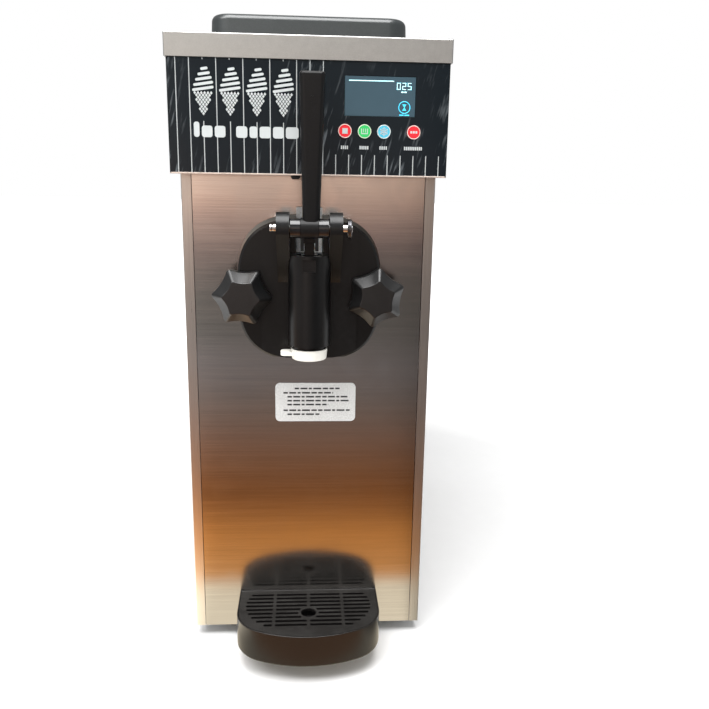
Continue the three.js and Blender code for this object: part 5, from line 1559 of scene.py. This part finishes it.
# ----------------------------------------------------------------------------------------------- drip tray
@dataclass
class DripTray(Assembly):
    """D-shaped tray with a rim, its slotted grille and its two hooks."""

    front_radius: float = 124 * MM
    corner: float = 40 * MM
    rim: float = 1.3 * MM
    seat: float = 3.3 * MM
    wall: float = 1.9 * MM
    floor: float = 3.2 * MM
    slot_wide: float = 3.6 * MM
    slot_pitch: float = 7.1 * MM
    slot_rows: int = 9
    back_edge: float = -191 * MM
    hook_root: float = -192.5 * MM
    hook_thick: float = 2.5 * MM
    hook_half: float = 9 * MM
    hook_apart: float = 45 * MM
    hook_drop: float = 9 * MM
    drain_y: float = -237 * MM
    drain_radius: float = 8 * MM
    drain_ring: float = 10.7

    def build(self) -> None:
        """Builds the tray and the grille."""
        self.low, self.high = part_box("drip_tray")
        self._tray()
        self._grille()

    def _outline(self, inset: float) -> list[Flat]:
        """Gives the tray's D outline drawn in by an inset."""
        half = self.high.x - inset
        front, corner = self.front_radius - inset, self.corner - inset
        centre_y = self.low.y + self.front_radius
        across = half - corner
        corner_y = centre_y - math.sqrt((front - corner) ** 2 - across**2)
        lean = math.degrees(math.atan2(corner_y - centre_y, across))
        back = self.high.y - 9.5 * MM - inset
        points = arc((-across, corner_y), corner, 180, 180 - lean, 10)
        points += arc((0, centre_y), front, 180 - lean, 360 + lean, 40)[1:-1]
        points += arc((across, corner_y), corner, lean, 0, 10)
        return [*points, (half, back), (-half, back)]

    def _tray(self) -> None:
        """Models the tray from its outline, with a stepped rim and a basin."""
        tray = Bench.outline("drip_tray_shape", self._outline(0), self.low.z, self.high.z)
        top = self.high.z
        Bench.inset(tray, looks("z", 1, STRAIGHT), self.rim)
        self._sink(tray, top, self.seat)
        Bench.inset(tray, lambda c, n: n.z > STRAIGHT and abs(c.z - top + self.seat) < TOUCHING, self.wall)
        self._sink(tray, top - self.seat, self.high.z - self.low.z - self.seat - self.floor)
        Bench.bevel(tray, level(self.low.z), 2.0 * MM, 4)
        foot, half = top - self.hook_drop - self.hook_thick, self.hook_half
        hooks = []
        for x in (-self.hook_apart, self.hook_apart):
            corner = (x + half, self.high.y, foot + self.hook_thick)
            hook = Bench.block("hook", (x - half, self.hook_root, foot), corner)
            Bench.bevel(hook, lambda c, run: abs(run.z) > STRAIGHT and c.y > corner[1] - 0.1 * MM, 2 * MM, 3)
            hooks.append(hook)
        Bench.unite(tray, *hooks)
        Bench.soften(tray, 0.5 * MM, 3)
        self.settle(tray, "drip_tray", TRAY_BLACK, stands_for=True)

    def _sink(self, tray: Object, height: float, depth: float) -> None:
        """Pushes the inner face at a height down."""
        with Bench.editing(tray, Part.FACE):
            flat = [f for f in bmesh.from_edit_mesh(tray.data).faces if f.normal.z > STRAIGHT]
            faces = [f for f in flat if abs(f.calc_center_median().z - height) < TOUCHING]
            spot = max(faces, key=lambda f: f.calc_area()).calc_center_median()
            Bench.pick(tray, Part.FACE, lambda c, n: n.z > STRAIGHT and (c - spot).length < TOUCHING / 10)
            bpy.ops.mesh.extrude_region_move(TRANSFORM_OT_translate={"value": (0, 0, -depth)})

    def _grille(self) -> None:
        """Models the grille: rows of rounded slots between ribs, and a ringed drain hole."""
        low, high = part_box("drip_grille")
        foot, top = low.z - 1 * MM, high.z + 1 * MM
        plate = Bench.outline("drip_grille_shape", self._outline(1.6 * MM), low.z, high.z)
        slots = []
        for row in range(self.slot_rows):
            y = self.back_edge - 11 * MM - row * self.slot_pitch
            for x0, x1 in self._row_spans(y):
                front, back = y - self.slot_wide / 2, y + self.slot_wide / 2
                slot = Bench.block("slot", (x0, front, foot), (x1, back, top))
                Bench.bevel(slot, runs("z"), 1.2 * MM, 3)
                slots.append(slot)
        Bench.cut(plate, Bench.gather("slots", slots))
        Bench.cut(plate, Bench.rod("drain", "z", (foot, top), (0, self.drain_y), self.drain_radius, 48))
        Bench.soften(plate, 0.45 * MM, 2)
        self.settle(plate, "drip_grille", TRAY_BLACK, stands_for=True)

    def _row_spans(self, y: float) -> Iterator[Flat]:
        """Gives where one row's slots start and end: two on each side, clear of the drain and the rim."""
        edge = 67 * math.sqrt(1 - (((y - self.back_edge) / MM + 31) / 51) ** 2)
        near = abs(y - self.drain_y) / MM
        ring = math.sqrt(self.drain_ring**2 - near**2) if near < self.drain_ring else 0
        for x0, x1 in ((max(1.5, ring), 34.7), (37.7, edge)):
            for side in (-1, 1):
                yield tuple(sorted((side * x0 * MM, side * x1 * MM)))


# --------------------------------------------------------------------------------------------------- label
@dataclass
class NoticeLabel(Assembly):
    """Blank notice on the front panel: a rounded film with rows of plain bars."""

    row_tall: float = 1.7 * MM
    gap: float = 1.5 * MM
    word_widths: Sequence[float] = (4.6, 7.2, 3.1, 8.4, 5.6)
    rows: Sequence[Point] = (
        (0.24, 0.80, 5.2),
        (0.10, 0.72, 9.9),
        (0.15, 0.90, 14.2),
        (0.15, 0.93, 18.5),
        (0.15, 0.66, 22.8),
        (0.10, 0.93, 29.0),
        (0.15, 0.55, 33.4),
    )

    def build(self) -> None:
        """Builds the film and its rows, whose start and end are shares of the width."""
        self.refine("note_label", PAPER, 0.1 * MM)
        low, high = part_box("note_label")
        width = high.x - low.x
        shapes = []
        for start, end, drop in self.rows:
            x, last, z = low.x + start * width, low.x + end * width, high.z - drop * MM
            for wide in cycle(self.word_widths):
                if x >= last:
                    break
                corner = (min(x + wide * MM, last), low.y + 0.02 * MM, z)
                shapes.append(Bench.block("bar", (x, low.y - 0.1 * MM, z - self.row_tall), corner))
                x += wide * MM + self.gap
        self.settle(Bench.gather("note_label_bars", shapes), "note_label", PRINT_DARK)


# --------------------------------------------------------------------------------------------- inner works
class InnerWorks(Assembly):
    """What the cabinet holds: cylinder, drive and refrigeration, dressed as they are."""

    def build(self) -> None:
        """Dresses the frame's inner nodes."""
        self.dress(TANK, "freezing_cylinder")
        self.dress(FOAM, "cylinder_insulation")
        self.dress(MILKY, "beater")
        self.dress(CHROME, "drive_shaft", "motor_pulley")
        self.dress(RUBBER, "shaft_seal", "drive_belt")
        self.dress(GALVANISED, "gearbox", "drive_frame", "fan_shroud", "power_box")
        self.dress(ENAMEL, "gearbox_pulley", "beater_motor", "compressor", "fan_motor")
        self.dress(FINS, "condenser")
        self.dress(COPPER, "discharge_pipe", "liquid_pipe", "suction_pipe", "filter_drier")
        self.dress(BLACK, "fan_blade")
        self.refine("power_inlet", BLACK, 0.4 * MM)


# -------------------------------------------------------------------------------------------------- studio
@dataclass
class Studio:
    """Camera, plain pale floor, soft light, and the cards that the polished steel mirrors."""

    eye: Point = (-0.00277, -0.9415, 0.5064)
    yaw: float = 3.816
    pitch: float = 13.42
    roll: float = 0.974
    lens: float = 37.73
    floor_colour: Colour = (0.9, 0.9, 0.9)
    fill: float = 0.6
    mirrored: float = 0.3
    card_reach: float = 2.34
    card_rise: float = 1.6
    card_wide: float = 5.0
    card_height: float = 4 * MM
    eye_reach: float = 0.75
    left_share: float = 2.3
    right_share: float = 0.2
    lamps: Sequence[tuple[str, Point, Point, float, float]] = (
        ("key", (-1.5, -1.3, 2.2), (0, 0, 0.35), 1.0, 26.0),
        ("top", (-0.1, -0.85, 2.2), (0, -0.3, 0.3), 1.5, 62.0),
    )
    ground_tones: Stops = (
        (0.0, (1.08, 0.96, 0.75)),
        (0.095, (1.05, 0.92, 0.70)),
        (0.125, (0.80, 0.36, 0.115)),
        (0.233, (0.68, 0.27, 0.07)),
        (0.33, (0.34, 0.125, 0.038)),
        (0.42, (0.24, 0.09, 0.032)),
        (0.52, (0.26, 0.12, 0.062)),
        (0.64, (0.245, 0.137, 0.097)),
        (0.79, (0.22, 0.158, 0.129)),
        (1.0, (0.185, 0.163, 0.158)),
        (1.25, (0.256, 0.23, 0.235)),
        (1.55, (0.134, 0.127, 0.117)),
        (2.34, (0.16, 0.15, 0.14)),
    )
    wall_tones: Stops = (
        (0.0, (0.16, 0.15, 0.14)),
        (0.1, (0.15, 0.14, 0.13)),
        (0.23, (0.20, 0.15, 0.145)),
        (0.35, (0.42, 0.28, 0.25)),
        (0.46, (1.15, 0.76, 0.58)),
        (0.60, (0.82, 0.69, 0.59)),
        (0.78, (0.64, 0.61, 0.56)),
        (1.6, (0.62, 0.62, 0.60)),
    )

    def camera(self) -> None:
        """Places the camera."""
        yaw, pitch, roll = (math.radians(v) for v in (self.yaw, self.pitch, self.roll))
        ahead = Vector((math.sin(yaw) * math.cos(pitch), math.cos(yaw) * math.cos(pitch), -math.sin(pitch)))
        right = Vector((math.cos(yaw), -math.sin(yaw), 0))
        up = right.cross(ahead)
        cos, sin = math.cos(roll), math.sin(roll)
        right, up = cos * right + sin * up, -sin * right + cos * up
        data = bpy.data.cameras.new("camera")
        data.lens = self.lens
        data.sensor_width = 36
        data.clip_start = 0.01
        camera = bpy.data.objects.new("camera", data)
        bpy.context.scene.collection.objects.link(camera)
        rows = [(right[i], up[i], -ahead[i], self.eye[i]) for i in range(3)]
        camera.matrix_world = Matrix((*rows, (0, 0, 0, 1)))
        bpy.context.scene.camera = camera

    def build(self) -> None:
        """Builds floor, world, lights and cards."""
        bpy.context.scene.view_settings.view_transform = "Standard"
        self._floor()
        self._world()
        self._lights()
        self._cards()

    def _floor(self) -> None:
        """Lays the floor."""
        Bench.hold()
        bpy.ops.mesh.primitive_plane_add(size=30, location=(0, 0, 0))
        floor = Bench.take("floor")
        floor.data.materials.append(PaleFloor("pale_floor", self.floor_colour, 0.75, dust=0.0).material())

    def _world(self) -> None:
        """Lights the room: white where the camera sees it, dimmer in reflections and as fill."""
        world = bpy.data.worlds.new("room")
        bpy.context.scene.world = world
        world.use_nodes = True
        graph = Graph(world.node_tree)
        path = graph.add("LightPath")
        fill = graph.stretch(path.outputs["Is Glossy Ray"], 0.0, 1.0, self.fill, self.mirrored)
        level = graph.stretch(path.outputs["Is Camera Ray"], 0.0, 1.0, 0.0, 1.0)
        strength = graph.math("MAXIMUM", fill, level)
        sky = graph.add("Background", {"Color": WHITE, "Strength": strength})
        graph.add("OutputWorld", {0: sky.outputs[0]})

    def _lights(self) -> None:
        """Hangs two soft lamps."""
        for name, place, aim, size, power in self.lamps:
            data = bpy.data.lights.new(name, "AREA")
            data.size = size
            data.energy = power
            lamp = bpy.data.objects.new(name, data)
            bpy.context.scene.collection.objects.link(lamp)
            lamp.location = place
            lamp.rotation_euler = (Vector(aim) - Vector(place)).to_track_quat("-Z", "Y").to_euler()

    def _cards(self) -> None:
        """Stands the mirrored room in front: a worktop edge, a warm floor and a dim wall."""
        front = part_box("front_panel")[0].y
        far = front - self.card_reach
        ground = self._card("mirrored_floor", (0, (front + far) / 2, self.card_height), 0.0)
        wall = self._card("mirrored_wall", (0, far, self.card_rise / 2), math.pi / 2)
        self._glow(ground, "floor_glow", "Y", (front, far), self.ground_tones)
        self._glow(wall, "wall_glow", "Z", (0.0, self.card_rise), self.wall_tones)

    def _card(self, name: str, middle: Point, turn: float) -> Object:
        """Adds a card that only reflections see, turned about X."""
        Bench.hold()
        bpy.ops.mesh.primitive_plane_add(size=1, location=middle, rotation=(turn, 0, 0))
        card = Bench.take(name)
        Bench.resize(card, Part.VERT, anything, (self.card_wide, self.card_reach, self.card_rise), middle)
        card.visible_camera = card.visible_diffuse = card.visible_shadow = card.visible_transmission = False
        return card

    def _glow(self, card: Object, name: str, axis: str, ends: Flat, tones: Stops) -> None:
        """Gives a card a glow whose colour changes along one axis.

        Args:
            card: the card.
            name: the material's name.
            axis: Y or Z.
            ends: where the first and the last colour are.
            tones: distances from the first end, with their colours.
        """
        made = bpy.data.materials.new(name)
        made.use_nodes = True
        graph = Graph(made.node_tree)
        place = graph.add("SeparateXYZ", {0: graph.add("TexCoord").outputs["Object"]}).outputs
        reach = abs(ends[1] - ends[0])
        stops = [(distance / reach, colour) for distance, colour in tones]
        colour = graph.ramp(graph.stretch(place[axis], *ends), stops)
        depth = graph.minus(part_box("front_panel")[0].y, place["Y"])
        spread = graph.plus(1.0, graph.math("DIVIDE", depth, self.eye_reach))
        across = graph.math("DIVIDE", place["X"], spread)
        rising = graph.stretch(across, -0.3, -0.22, 1.0, self.left_share)
        falling = graph.stretch(across, -0.135, -0.112, self.left_share, 1.0)
        right = graph.stretch(across, 0.108, 0.13, 1.0, self.right_share)
        share = graph.times(graph.math("MINIMUM", rising, falling), right)
        glow = graph.add("Emission", {"Color": colour, "Strength": share})
        graph.add("OutputMaterial", {0: glow.outputs[0]})
        card.data.materials.append(made)


def main() -> None:
    """Builds the studio and every sub-assembly."""
    logging.basicConfig(level=logging.INFO, format="%(name)s: %(message)s")
    studio = Studio()
    studio.camera()
    for kind in (Cabinet, ControlHood, Hopper, DispensingHead, DripTray, NoticeLabel, InnerWorks):
        kind().build()
    studio.build()


if __name__ == "__main__":
    main()
